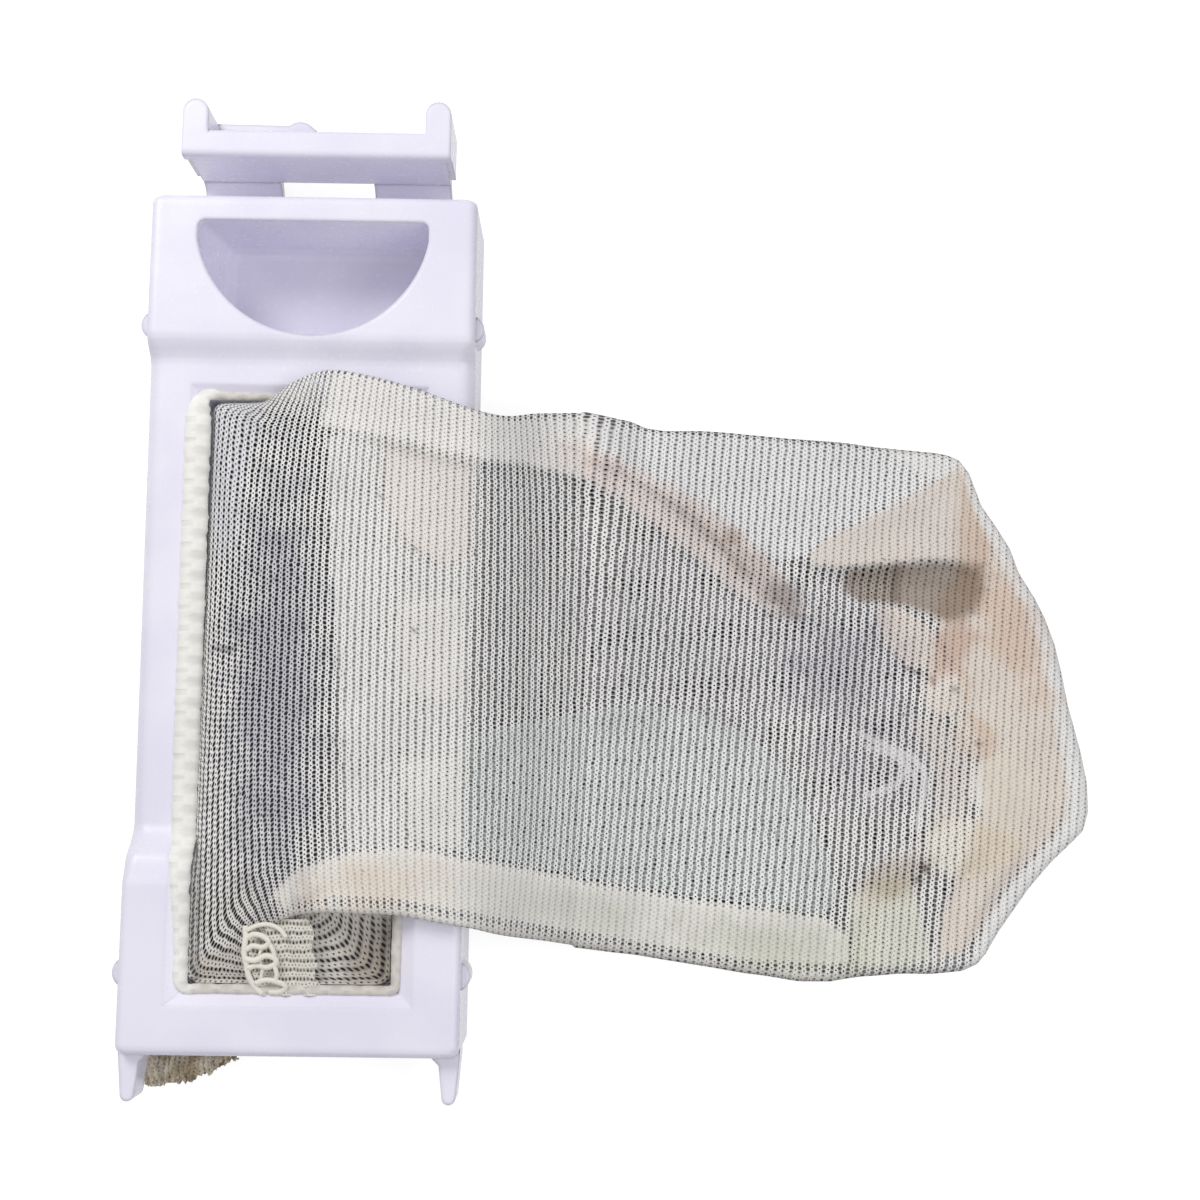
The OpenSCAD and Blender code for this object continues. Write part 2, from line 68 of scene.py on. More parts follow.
def linear(hex_code):
    """A colour written as sRGB hex, as the linear values that a shader takes."""
    parts = [int(hex_code[i:i + 2], 16) / 255 for i in (1, 3, 5)]
    return tuple(p / 12.92 if p <= 0.04045 else ((p + 0.055) / 1.055) ** 2.4 for p in parts) + (1.0,)


def add_node(tree, kind, values=None, **settings):
    """Adds one node. values maps a socket's name or number to a constant or to another node's output."""
    node = tree.nodes.new(kind)
    for name, value in settings.items():
        setattr(node, name, value)
    for key, value in (values or {}).items():
        if isinstance(value, bpy.types.NodeSocket):
            tree.links.new(value, node.inputs[key])
        else:
            node.inputs[key].default_value = value
    return node


def maths(tree, operation, first, second=0.0, third=0.0):
    return add_node(tree, "ShaderNodeMath", {0: first, 1: second, 2: third}, operation=operation).outputs[0]


def blend_colour(tree, share, first, second, blend_type="MIX"):
    return add_node(tree, "ShaderNodeMix", {0: share, 6: first, 7: second}, data_type="RGBA",
                    blend_type=blend_type).outputs[2]


def ramp(tree, value, low, high):
    """A smooth 0 to 1 as value goes from low to high."""
    return add_node(tree, "ShaderNodeMapRange", {"Value": value, "From Min": low, "From Max": high},
                    interpolation_type="SMOOTHSTEP").outputs[0]


def new_material(name):
    material = bpy.data.materials.new(name)
    material.use_nodes = True
    tree = material.node_tree
    tree.nodes.clear()
    shader = add_node(tree, "ShaderNodeBsdfPrincipled")
    output = add_node(tree, "ShaderNodeOutputMaterial", {"Surface": shader.outputs[0]})
    return material, tree, shader, output


def link(tree, output, shader, socket):
    tree.links.new(output, shader.inputs[socket])


def mesh_object(name, points, faces, material, smooth=True):
    """A new object from points in millimetres."""
    mesh = bpy.data.meshes.new(name)
    mesh.from_pydata([tuple(float(c) * MM for c in p) for p in points], [], faces)
    mesh.update()
    mesh.materials.append(material)
    mesh.polygons.foreach_set("use_smooth", [smooth] * len(mesh.polygons))
    piece = bpy.data.objects.new(name, mesh)
    bpy.context.scene.collection.objects.link(piece)
    return piece


def set_material(node, material):
    node.data.materials.clear()
    node.data.materials.append(material)


# Materials

def moulded_polypropylene(name, tint, shade, gloss):
    """Injection-moulded polypropylene: white with a cool cast, a soft gloss and a faint unevenness where the
    mould's surface was worn. The mould rounds every edge."""
    material, tree, shader, _ = new_material(name)
    place = add_node(tree, "ShaderNodeTexCoord").outputs["Object"]
    cloud = add_node(tree, "ShaderNodeTexNoise", {"Vector": place, "Scale": 55.0, "Detail": 3.0}).outputs["Fac"]
    colour = blend_colour(tree, ramp(tree, cloud, 0.35, 0.68), tint, shade)
    # Tiny specks of lint on the moulding, a few on each block
    specks = add_node(tree, "ShaderNodeTexVoronoi", {"Vector": place, "Scale": 70.0}).outputs["Distance"]
    colour = blend_colour(tree, maths(tree, "MULTIPLY", ramp(tree, specks, 0.022, 0.012), 0.5), colour,
                          linear("#8C7A8C"))
    link(tree, colour, shader, "Base Color")
    # Grain of the mould's surface, about 0.3 mm, and slow waves where the wall shrank
    grain = add_node(tree, "ShaderNodeTexNoise", {"Vector": place, "Scale": 900.0, "Detail": 1.0}).outputs["Fac"]
    link(tree, maths(tree, "MULTIPLY_ADD", grain, 0.10, gloss - 0.05), shader, "Roughness")
    height = maths(tree, "MULTIPLY_ADD", grain, 0.10, cloud)
    edge = add_node(tree, "ShaderNodeBevel", {"Radius": 0.0011}, samples=4)
    bump = add_node(tree, "ShaderNodeBump", {"Strength": 0.10, "Distance": 0.0008, "Height": height,
                                             "Normal": edge.outputs[0]})
    link(tree, bump.outputs[0], shader, "Normal")
    shader.inputs["IOR"].default_value = 1.49
    return material


def knitted_net(colour_value, wale, course):
    """Warp-knitted polyester net: matt off-white yarn in chains of loops, with a large gap between two chains and a
    small one inside each loop. The gaps are cut out by alpha, one every 1.25 mm across and 0.8 mm along."""
    material, tree, shader, _ = new_material("knitted_polyester_net")
    cloth = add_node(tree, "ShaderNodeAttribute", attribute_name="fabric_mm").outputs["Vector"]
    closed = add_node(tree, "ShaderNodeSeparateXYZ", {0: cloth}).outputs[2]
    flat = add_node(tree, "ShaderNodeVectorMath", {0: cloth, 1: (1, 1, 0)}, operation="MULTIPLY").outputs[0]
    wander = add_node(tree, "ShaderNodeTexNoise", {"Vector": flat, "Scale": 0.6, "Detail": 2.0}).outputs["Color"]
    moved = add_node(tree, "ShaderNodeVectorMath", {0: wander, 1: (0.62, 0.42, 0.0), 2: flat},
                     operation="MULTIPLY_ADD").outputs[0]
    axes = add_node(tree, "ShaderNodeSeparateXYZ", {0: moved})
    across = maths(tree, "DIVIDE", axes.outputs[0], wale)
    along = maths(tree, "DIVIDE", axes.outputs[1], course)

    def gap(offset, half_width, half_height):
        """Distance from the middle of a gap, 1 at its rim."""
        u = maths(tree, "SUBTRACT", maths(tree, "FRACT", maths(tree, "ADD", across, offset)), 0.5)
        v = maths(tree, "SUBTRACT", maths(tree, "FRACT", maths(tree, "ADD", along, offset)), 0.5)
        u = maths(tree, "POWER", maths(tree, "ABSOLUTE", maths(tree, "DIVIDE", u, half_width)), 2.2)
        v = maths(tree, "POWER", maths(tree, "ABSOLUTE", maths(tree, "DIVIDE", v, half_height)), 2.2)
        return maths(tree, "ADD", u, v)

    uneven = add_node(tree, "ShaderNodeTexNoise", {"Vector": flat, "Scale": 1.2, "Detail": 2.0}).outputs["Fac"]
    open_share = maths(tree, "SUBTRACT", 1.0, closed)
    limit = maths(tree, "MULTIPLY", maths(tree, "MULTIPLY_ADD", uneven, 1.9, 0.08), open_share)
    nearest = maths(tree, "MINIMUM", gap(0.0, 0.23, 0.34), gap(0.5, 0.10, 0.19))
    link(tree, maths(tree, "GREATER_THAN", nearest, limit), shader, "Alpha")

    # Painted shade: the yarn is darker where it turns down round a gap. It is also uneven where its filaments are
    # ruffled
    rim = ramp(tree, nearest, 2.6, 0.7)
    fuzz = add_node(tree, "ShaderNodeTexNoise", {"Vector": flat, "Scale": 4.5, "Detail": 1.0}).outputs["Fac"]
    place = add_node(tree, "ShaderNodeTexCoord").outputs["Object"]
    cloud = add_node(tree, "ShaderNodeTexNoise", {"Vector": place, "Scale": 90.0, "Detail": 4.0}).outputs["Fac"]
    tint = add_node(tree, "ShaderNodeAttribute", attribute_name="net_tint").outputs["Color"]
    colour = blend_colour(tree, 1.0, colour_value, tint, "MULTIPLY")
    gap_shade = maths(tree, "MULTIPLY", rim, maths(tree, "MULTIPLY_ADD", open_share, 0.22, 0.09))
    # Painted shade: the thin yarns that cross from chain to chain lie lower than the chains and are drawn greyer
    column = maths(tree, "ABSOLUTE", maths(tree, "SUBTRACT", maths(tree, "FRACT", across), 0.5))
    gap_shade = maths(tree, "MULTIPLY_ADD", ramp(tree, column, 0.28, 0.14), maths(tree, "MULTIPLY_ADD", open_share, 0.26, 0.03), gap_shade)
    ruffle = maths(tree, "MULTIPLY_ADD", fuzz, 0.26, maths(tree, "MULTIPLY_ADD", cloud, 0.16, -0.16))
    # The painted shade at the gaps and the ruffled unevenness darken the yarn together
    dark = maths(tree, "ADD", gap_shade, ruffle)
    colour = blend_colour(tree, dark, colour, (0.0, 0.0, 0.0, 1.0))
    specks = add_node(tree, "ShaderNodeTexVoronoi", {"Vector": place, "Scale": 150.0}).outputs["Distance"]
    colour = blend_colour(tree, maths(tree, "MULTIPLY", ramp(tree, specks, 0.06, 0.03), 0.5), colour, linear("#6B5E56"))
    link(tree, colour, shader, "Base Color")
    height = maths(tree, "SUBTRACT", maths(tree, "MULTIPLY", fuzz, 0.5), rim)
    bump = add_node(tree, "ShaderNodeBump", {"Strength": 0.45, "Distance": 0.0002, "Height": height})
    link(tree, bump.outputs[0], shader, "Normal")
    shader.inputs["Roughness"].default_value = 0.85
    shader.inputs["Specular IOR Level"].default_value = 0.2
    return material


def sewing_yarn(colour_value):
    """Textured polyester overlock yarn: soft, bulky and matt, lighter than the net."""
    material, tree, shader, _ = new_material("textured_polyester_yarn")
    place = add_node(tree, "ShaderNodeTexCoord").outputs["Object"]
    cloud = add_node(tree, "ShaderNodeTexNoise", {"Vector": place, "Scale": 200.0, "Detail": 3.0}).outputs["Fac"]
    link(tree, blend_colour(tree, cloud, colour_value, linear("#E4E0D4")), shader, "Base Color")
    # Filaments twist round the yarn, one turn in about 0.8 mm
    twist = add_node(tree, "ShaderNodeTexNoise", {"Vector": place, "Scale": 2500.0, "Detail": 2.0}).outputs["Fac"]
    bump = add_node(tree, "ShaderNodeBump", {"Strength": 0.5, "Distance": 0.0002, "Height": twist})
    link(tree, bump.outputs[0], shader, "Normal")
    shader.inputs["Roughness"].default_value = 0.9
    return material


# The net bag's shape

# Rows from the net's clamped flange to where it lies flat, in millimetres: the middle of the upper and of the lower
# layer as x, z, then the foot fold and the head fold as x, y, z
ROUTE = np.array([
    [-22.6, 7.75, 22.6, 7.75, 0, -68.3, 7.75, 0, 42.6, 7.75],
    [-18.1, 7.9, 18.1, 7.9, 0, -64.0, 7.9, 0, 38.2, 7.9],
    [-18.1, 12.0, 18.0, 12.0, 0, -64.0, 12.8, 0, 38.2, 12.6],
    [-17.7, 14.8, 17.4, 14.4, -2, -63.4, 16.4, -2, 37.9, 16.2],
    [-15.8, 17.4, 13.0, 15.6, -5, -60.8, 18.8, -5, 38.0, 18.2],
    [-11.8, 19.3, 8.2, 16.4, -5, -56.6, 20.0, -5, 39.2, 19.6],
    [-6.0, 20.8, 6.2, 17.6, -2, -53.0, 20.8, -1, 41.8, 20.6],
    [1.5, 22.1, 8.6, 18.8, 3.5, -51.4, 21.4, 4, 43.1, 21.3],
    [9.0, 23.1, 14.0, 19.8, 11, -51.1, 21.9, 11, 42.2, 21.8],
    [17.0, 23.7, 19.6, 20.7, 18, -51.5, 22.3, 17.5, 40.2, 22.1],
    [23.6, 23.4, 25.0, 21.1, 24.5, -52.4, 22.5, 24, 38.1, 22.3],
    [30.4, 22.0, 30.2, 20.2, 30.4, -53.4, 21.2, 30.4, 36.2, 21.2],
    [36.6, 18.3, 33.6, 13.0, 35.4, -54.8, 15.2, 35.4, 36.8, 15.4],
    [42.4, 13.4, 37.6, 6.2, 40.4, -56.0, 8.8, 40.4, 38.6, 9.0],
    [49.6, 8.8, 45.0, 2.0, 47.6, -57.3, 4.2, 47.6, 39.8, 4.4],
], float)
# Where the flat bag ends, as y and x, and its two long edges, as x and y
END_Y = [-57.7, -53.9, -50.4, -46.2, -41.4, -37.9, -35.7, -32.3, -27.1, -21.7, -17.7, -13.1, -6.9, -2.0, 2.8, 6.5, 11.4,
         15.7, 19.8, 23.7, 26.7, 29.9]
END_X = [122.0, 124.3, 126.8, 129.8, 134.0, 137.7, 139.9, 140.9, 140.8, 139.8, 138.8, 137.6, 136.5, 135.4, 133.7, 131.9,
         128.9, 127.4, 124.9, 122.2, 121.2, 120.0]
FOOT_X = [47.6, 56.5, 68.9, 79.5, 88.6, 94.0, 99.7, 105.6, 111.9, 117.7, 120.4, 122.0]
FOOT_Y = [-57.3, -58.5, -60.3, -61.9, -63.0, -63.1, -62.1, -61.6, -61.4, -60.8, -59.6, -57.7]
HEAD_X = [47.6, 52.0, 57.0, 60.0, 63.5, 69.8, 76.2, 82.5, 88.8, 97.9, 107.2, 113.4, 115.8, 118.2, 120.0]
HEAD_Y = [39.8, 39.2, 38.5, 37.3, 36.9, 37.0, 36.7, 36.1, 35.8, 35.0, 34.0, 33.7, 33.3, 32.3, 29.9]
# Height of the upper and the lower layer by x
UPPER_X = [-18, -15.8, -11.8, -6, 1.5, 9, 17, 23.6, 30.4, 36.6, 42.4, 49.6, 57]
UPPER_Z = [14, 17.4, 19.3, 20.8, 22.1, 23.1, 23.7, 23.4, 22.0, 18.3, 13.4, 8.8, 5.4]
LOWER_X = [6.2, 8.6, 14, 19.6, 25, 30.2, 33.6, 37.6, 45, 57]
LOWER_Z = [17.6, 18.8, 19.8, 20.7, 21.1, 20.2, 13, 6.2, 2.0, 0.7]
# Height of the window's inner edge by y
LIP_Y = [-64.3, -46.5, -43.0, -40.8, -38.6, -36.5, 38.5]
LIP_Z = [18.2, 18.2, 17.4, 16.0, 14.0, 13.4, 15.6]
CORNER = 0.742
LAYER_SHADE = "#CCCAD0"
AROUND = 272
ROUTE_STEPS = 9
LAY_STEPS = 128
FABRIC_ROUND = 196.0
# How close the wales lie, by x: the net is stretched more where it lies flat
STRETCH_X = [-12, 0, 8, 30, 48]
STRETCH = [1.06, 1.0, 0.94, 0.90, 0.86]

# Creases on the upper layer: line, height, and width to the left and to the right of the line as it runs
CREASES = [
    ([(48.7, 31.1), (55.2, 29.3), (62.6, 25.4), (70, 20.3), (76.4, 14.1), (82.9, 7.2), (88.3, 3.2)], 2.3, 4.2, 1.5),
    ([(49.7, 24.4), (55.3, 21.5), (61.8, 16.8), (68.2, 11.4), (74.1, 6.7), (81, 3.1)], -0.9, 1.5, 2.5),
    ([(7.1, 31.8), (16.8, 29.6), (23.7, 27.6), (30.1, 26.7), (38.7, 27), (47.7, 26.4)], 0.8, 3.0, 1.2),
    ([(90.7, 11.9), (97.5, 11.8), (106.6, 12.3), (114.9, 13.2), (122.2, 11.1)], 2.1, 4.5, 1.1),
    ([(91, 8.2), (98, 7.8), (106, 7.8), (114, 7.6), (120, 6.4)], -1.5, 2.2, 2.8),
    ([(89.8, 14.3), (95.7, 17.3), (102.1, 21.1), (108.9, 24.9), (115.1, 28.8)], 0.9, 1.2, 3.0),
    ([(120.5, 24.4), (125.4, 16.1), (129.5, 6), (132.8, -4), (134.8, -12.2), (136.8, -21.2), (138.3, -28.4)], 0.9, 1.6, 3.4),
    ([(68.4, -13.1), (75.6, -15.2), (80.9, -18), (83.8, -24.4), (87.2, -32.5), (90.8, -41.5), (93.7, -47.1)], 1.2, 1.3, 3.2),
    ([(30, -21), (38, -18.3), (48.5, -15.9), (59.3, -14.2), (68.4, -13.8)], 0.5, 1.2, 3.0),
    ([(-10.4, 37.2), (-12.5, 33.2), (-13.9, 28.8), (-13.9, 23.5), (-12.4, 17.7), (-10.9, 11.3)], 1.5, 1.5, 2.2),
    ([(-6, 35.9), (-7.7, 32.1), (-8.6, 27.7), (-9.1, 22.4)], -0.8, 1.4, 1.4),
    ([(9.4, -41.4), (18.7, -40.3), (28.7, -42), (45.4, -45.4), (68.6, -49.5), (92.4, -52.4)], 0.9, 0.9, 5.0),
    ([(127.9, -39.2), (122.4, -45.5), (118.7, -52.6), (116, -57.9)], 1.0, 1.6, 2.0),
    ([(130.5, -41.5), (125.5, -47.5), (121.5, -54)], -0.7, 1.4, 1.4),
    ([(112, -50), (116, -43), (121, -37.5)], 0.6, 1.8, 1.8),
    ([(42, 3.9), (43.4, -4.9), (44.2, -13.8)], 0.5, 1.8, 1.8),
    ([(59.1, 12.3), (61.9, 1.4), (64.4, -11.4)], 0.5, 2.2, 1.6),
    ([(74, 0), (78, -8), (83, -14)], 0.5, 2.0, 1.5),
    ([(94, -2), (98, -12), (99, -24), (104, -34)], -0.6, 3.0, 3.0),
]
# Lumps where the end seam is bunched under the upper layer: middle x, y, radius and height
LUMPS = [(107.5, -1.0, 4.6, 0.8), (115.2, -10.4, 4.2, 0.9), (120.0, -19.0, 4.0, 0.7), (125.4, -29.0, 6.0, 1.3),
         (119.0, -39.0, 6.0, 0.6)]

# Where cloth lies doubled inside the bag, and two patches under the cream fold whose tint is painted shadow with brown
# dirt: outline in millimetres, how far it closes the gaps, tint, edge softness, and the height of the hidden layer
# between the lower and the upper one
DOUBLED = [
    ([(-3.2, -48.4), (-0.9, -45.4), (1.8, -43.3), (9.4, -40.7), (18.7, -39.6), (25.3, -40.4), (28.7, -41.3), (34, -42.2),
      (45.4, -44.7), (56.3, -47), (68.6, -48.8), (79.2, -50.1), (88.3, -51.1), (92.4, -51.7), (97.2, -54.6), (97.6, -59.4),
      (94.2, -60.1), (79.2, -59.6), (56.4, -56), (42.1, -53.2), (29.9, -50.5), (18.9, -48.5), (9.6, -48.2), (2, -49.3),
      (-0.5, -50.7)], 0.92, "#FDFBF7", 1.3, 0.72),
    ([(-4.3, -53.2), (0.3, -52.2), (7.0, -51.9), (18.8, -52.3), (29.9, -55.0), (42.0, -57.9), (56.5, -60.1), (68.9, -61.9),
      (79.5, -63.5), (94.0, -64.6), (99.0, -63.4), (98.6, -61.4), (94.5, -61.4), (79.5, -60.6), (56.5, -57.0), (42.0, -54.3),
      (29.9, -51.4), (18.8, -49.5), (7.0, -49.1), (0.3, -50.3)], 0.86, "#FFFCF7", 1.0, None),
    ([(4.2, 42.1), (10.4, 41.7), (21.8, 37.9), (29.7, 35.7), (35.7, 35.1), (44.1, 37.4), (50.3, 37.8), (50.9, 33.4),
      (50.3, 26.3), (47.7, 26.7), (38.7, 27.5), (30.1, 27), (23.7, 28.1), (16.8, 30), (8, 31.4), (2.7, 32.7)],
     0.78, "#FFFDFC", 1.2, 0.80),
    ([(3.9, 30.7), (7.9, 31.7), (16.6, 30.4), (23.6, 28.4), (30.0, 27.2), (29.5, 16.6), (29.3, 2.6), (29.4, -14.6),
      (29.4, -31.6), (29.6, -40.3), (25.3, -40.0), (18.5, -39.3), (9.4, -40.3), (8.8, -31.9), (7.6, -14.9), (6.0, 2.2),
      (4.9, 16.1)], 0.50, "#FFFFFF", 0.8, 0.84),
    ([(14.0, 29.1), (23.6, 27.8), (29.2, 26.2), (29.2, 9.6), (24.1, 7.7), (17.1, 12.8), (14.3, 19.8)], 0.80, "#FBF6F3", 3.0,
     None),
    ([(16.5, 2.4), (28.6, 4.3), (29.0, -14.6), (23.0, -15.6), (17.8, -13.1)], 0.74, "#FDFBF9", 3.0, None),
    ([(18.1, -25.0), (29.2, -23.1), (29.6, -40.0), (25.3, -40.0), (20.1, -38.4)], 0.74, "#FFFFFD", 3.0, None),
    ([(49.6, 37), (58.8, 36.5), (69.9, 36), (82.3, 35.2), (97.6, 34.1), (112.3, 32.7), (116.9, 31.4), (115.1, 28.8),
      (107.7, 24.2), (99.2, 19.8), (92, 16), (88.3, 13.5), (84.7, 12.7), (77.3, 16.9), (70, 22.1), (62.6, 25.9),
      (55.2, 29.3), (49.7, 31.3)], 0.54, "#FDFDFF", 1.2, 0.70),
    ([(48.7, 31.5), (55.2, 30.4), (62.6, 27.2), (70, 23.3), (77.3, 18.2), (82.8, 13.1), (86.9, 7.6), (89.4, 3.2),
      (86.5, 1.7), (81, 4.2), (74.6, 8.1), (69.1, 13.2), (62.7, 18.3), (55.3, 22.9), (48.8, 26.1)],
     0.62, "#F8F0ED", 2.0, None),
    ([(89.8, 14.3), (92.4, 16.2), (99.2, 19.8), (107.7, 24.2), (115.1, 28.8), (117.9, 31.1), (119.3, 26.2), (120.7, 21.6),
      (123.2, 15.5), (122.2, 11), (118, 12.8), (112.2, 12.9), (106.6, 12.3), (97.5, 11.6), (90.7, 11.5)],
     0.86, "#F2E9E3", 0.9, 0.85),
    ([(118.2, 29.9), (120, 24.4), (122.9, 17.9), (125.9, 11.1), (130, 3.8), (132.4, -4), (134.1, -12.2), (135.7, -21.2),
      (137.1, -28.4), (136.2, -33.8), (132.9, -37.7), (128.5, -42.1), (123.8, -47.8), (120.5, -53.8), (117.2, -57.4),
      (112.9, -58.5), (113.4, -52), (116, -45), (118.6, -38), (121.4, -30), (120.6, -22), (118.6, -15), (117.2, -8),
      (113.8, -2), (113.2, 4), (116.7, 10.4)], 0.86, "#F4EAE1", 2.4, None),
    ([(29.6, -20.6), (38.1, -18), (48.5, -15.7), (59.3, -14), (70.2, -15.3), (79.3, -19.3), (84.7, -24.6), (89.4, -31.7),
      (93, -39.7), (95.8, -48.5), (92.4, -51), (79.2, -49.4), (56.3, -46.3), (33.9, -41.5), (29.7, -40.3)],
     0.10, "#FBFFFF", 1.6, 0.60),
    # Under the cream fold's lower edge: painted shadow with brown dirt, in two parts
    ([(96.9, 11.0), (101.5, 11.8), (106.5, 12.2), (106.5, 5.0), (105.2, 5.2), (99.7, 5.4), (96.4, 7.3)], 0.36, "#BEB2A8",
     1.6, None),
    ([(105.5, 12.2), (115.4, 12.9), (121.8, 12.1), (122.4, 8.0), (120.5, 3.4), (115.3, 1.7), (110.7, 3.5), (105.5, 5.2)], 0.84,
     "#B4A89F", 2.6, None),
    ([(104, 34.8), (112.5, 33.6), (117.8, 32.4), (120.6, 28.5), (118.5, 25), (113, 27.5), (106, 31)], 0.80, "#FFFEFC", 3.0, None),
    ([(108, -16), (113, -15), (118, -20), (121, -27), (118.5, -33), (112, -36), (104, -41), (98, -46), (100, -51), (106, -48),
      (110, -40), (112, -34), (113, -28), (111, -21)], 0.52, "#F8F2EE", 4.0, None),
    ([(-17.5, 37), (-7.6, 37.1), (-9.2, 30), (-10.8, 23), (-11.2, 12.4), (-14.6, 8.9), (-17, 15.8), (-18, 29.8)], 0.36, "#F4F4FA",
     3.0, None),
    ([(112, -9), (117, -7), (121, -1), (118, 3), (113.5, 0)], 0.55, "#E9D9D2", 3.0, None),
    ([(102.6, 4.9), (106.6, 4.2), (110.6, 2), (114.2, -1.6), (115.6, -5.2), (113.4, -6.7), (109.2, -6.7), (106, -4.6),
      (103.8, -1.7), (102.2, 1.9)], 0.66, "#F8EEE8", 1.6, None),
    ([(112, -6.7), (115.3, -5.6), (118.2, -6.6), (119.6, -9.5), (118.8, -13.1), (116.4, -15.4), (113.3, -15.4),
      (111, -13.3), (110.5, -10.4)], 0.74, "#FCF3EC", 1.4, None),
    ([(116.4, -15.2), (119.5, -14.6), (122.4, -16.4), (124.2, -19.2), (123.4, -22.5), (120.5, -23.6), (117.6, -21.8),
      (115.8, -18.8)], 0.66, "#F8EEE6", 1.6, None),
    ([(120.9, -22.5), (124.9, -21.4), (128.5, -22.8), (130.9, -26.3), (131.6, -30.6), (129.7, -34.6), (125.7, -36.1),
      (122.2, -34.7), (119.7, -31.5), (119, -26.8)], 0.92, "#FFFFFC", 2.0, None),
    ([(113.5, -32.6), (119.8, -34), (126.1, -36.4), (129.7, -37.8), (126, -41.4), (121.5, -44.3), (116.1, -44.7),
      (111.6, -42.1), (110.8, -37.7)], 0.74, "#FCF9F0", 2.4, None),
    ([(97.2, -48), (103, -45), (108, -44), (110, -50), (112, -59), (104, -60.5), (98, -60)], 0.74, "#F4F4E9", 2.6, 0.55),
    ([(-17, -64.5), (17.5, -64.5), (17.5, -52), (6, -51.8), (-3, -52.5), (-9, -56.5), (-17, -58)], 0.44, "#E8E4DE", 2.4, None),
]
# Patches that tint the net: lint and dirt, wide grey patches that darken it, and painted shade at a crease's end and
# under a fold: middle x, y and half sizes in millimetres, turn in degrees, tint, strength
STAINS_AND_SHADE = [
    (-13.2, -6.2, 3.2, 1.1, 0, "#6A6670", 0.80),
    (75.5, 14.0, 15.0, 3.2, -40, "#DCCEC6", 0.50),
    (75.7, 16.6, 2.6, 2.0, 0, "#B39C8C", 0.40),
    # Painted shade in the valley where the long crease ends
    (85.5, 6.0, 5.0, 3.4, -30, "#9C9698", 0.60),
    (127.5, 1.0, 7.0, 17.0, 24, "#F3DFD3", 0.65),
    (105.0, -44.5, 9.0, 4.4, 14, "#D2C8BC", 0.60),
    (110.8, -42.6, 1.0, 0.8, 0, "#6A5044", 0.80),
    (109.6, -44.8, 0.8, 0.8, 0, "#6E564A", 0.70),
    (50.0, 29.5, 8.0, 4.0, -10, "#F8EAE6", 0.50),
    (96.0, -6.0, 14.0, 13.0, -10, "#D8D4DE", 0.70),
    (104.0, -24.0, 14.0, 10.0, 0, "#E4E1E8", 0.50),
    (68.0, -2.0, 22.0, 22.0, 0, "#ECEBEE", 0.60),
    (-4.0, -14.0, 9.5, 44.0, 0, "#CBCAD4", 0.90),
    (-8.0, -52.0, 12.0, 10.0, 0, "#E8E4DE", 0.60),
    # Painted shadow under the fold at the right of the window's foot pocket
    (13.0, -59.0, 6.0, 6.0, 0, "#C4BCB4", 0.80),
    (84.0, -57.0, 22.0, 7.0, -8, "#EAECE3", 0.90),
    (52.0, -52.0, 14.0, 5.0, -9, "#F0F3EE", 0.80),
    (14.0, -46.0, 14.0, 5.0, 5, "#FFF4EA", 0.80),
    (109.0, -7.2, 2.6, 0.5, -18, "#9A8876", 0.70),
    (112.6, -9.0, 0.5, 1.5, 8, "#94826F", 0.65),
    (116.3, -10.4, 0.9, 0.8, 0, "#8E7E74", 0.60),
    (120.6, -20.4, 0.9, 0.6, 0, "#96867C", 0.55),
    (104.5, -8.0, 0.9, 0.4, 30, "#8A7C78", 0.60),
    (14.0, 20.0, 0.6, 0.5, 0, "#5A4A48", 0.80),
    (19.5, 11.0, 0.9, 0.3, 20, "#7C6A66", 0.70),
    (20.0, -3.0, 0.5, 0.5, 0, "#6A5A52", 0.70),
]


def spline(rows, steps):
    """Rows joined smoothly, with a number of steps between every two."""
    ghost = np.vstack([2 * rows[0] - rows[1], rows, 2 * rows[-1] - rows[-2]])
    made = []
    for i in range(len(rows) - 1):
        a, b, c, d = ghost[i:i + 4]
        for j in range(steps):
            t = j / steps
            made.append(0.5 * (2 * b + (c - a) * t + (2 * a - 5 * b + 4 * c - d) * t * t + (3 * b - a - 3 * c + d) * t ** 3))
    return made + [rows[-1]]


HALF = AROUND // 2
RING_U = np.concatenate([np.linspace(1, -1, HALF, endpoint=False), np.linspace(-1, 1, HALF, endpoint=False)])
RING_UPPER = np.arange(AROUND) < HALF


def ring(row, flat):
    """One closed line of the net round the bag, from the head fold over the upper layer to the foot fold and back."""
    u = RING_U
    foot = u < 0
    away = np.abs(u)
    side_x = np.where(RING_UPPER, row[0], row[2])
    side_z = np.where(RING_UPPER, row[1], row[3])
    fold = [np.where(foot, row[4 + i], row[7 + i]) for i in range(3)]
    middle = (row[5] + row[8]) / 2
    turned = clamp((away - CORNER) / (1 - CORNER))
    open_share = np.minimum(1, away / CORNER)
    bend = clamp((away - 0.955) / 0.045)
    rolled = 1 - np.sqrt(np.maximum(0, 1 - bend * bend))
    x = mix(mix(side_x, fold[0], turned), mix(side_x, fold[0], away ** 3), flat)
    y = middle + (fold[1] - middle) * mix(open_share, away, flat)
    z = mix(mix(side_z, fold[2], turned), mix(side_z, fold[2], rolled), flat)
    return np.stack([x, y, z], 1)


def soften(points, times):
    for _ in range(times):
        points = 0.5 * points + 0.25 * (np.roll(points, 1, 0) + np.roll(points, -1, 0))
    return points


def waviness(x, y, size, seed):
    return np.array([noise.noise(Vector((a / size, b / size, seed))) for a, b in zip(x, y)])


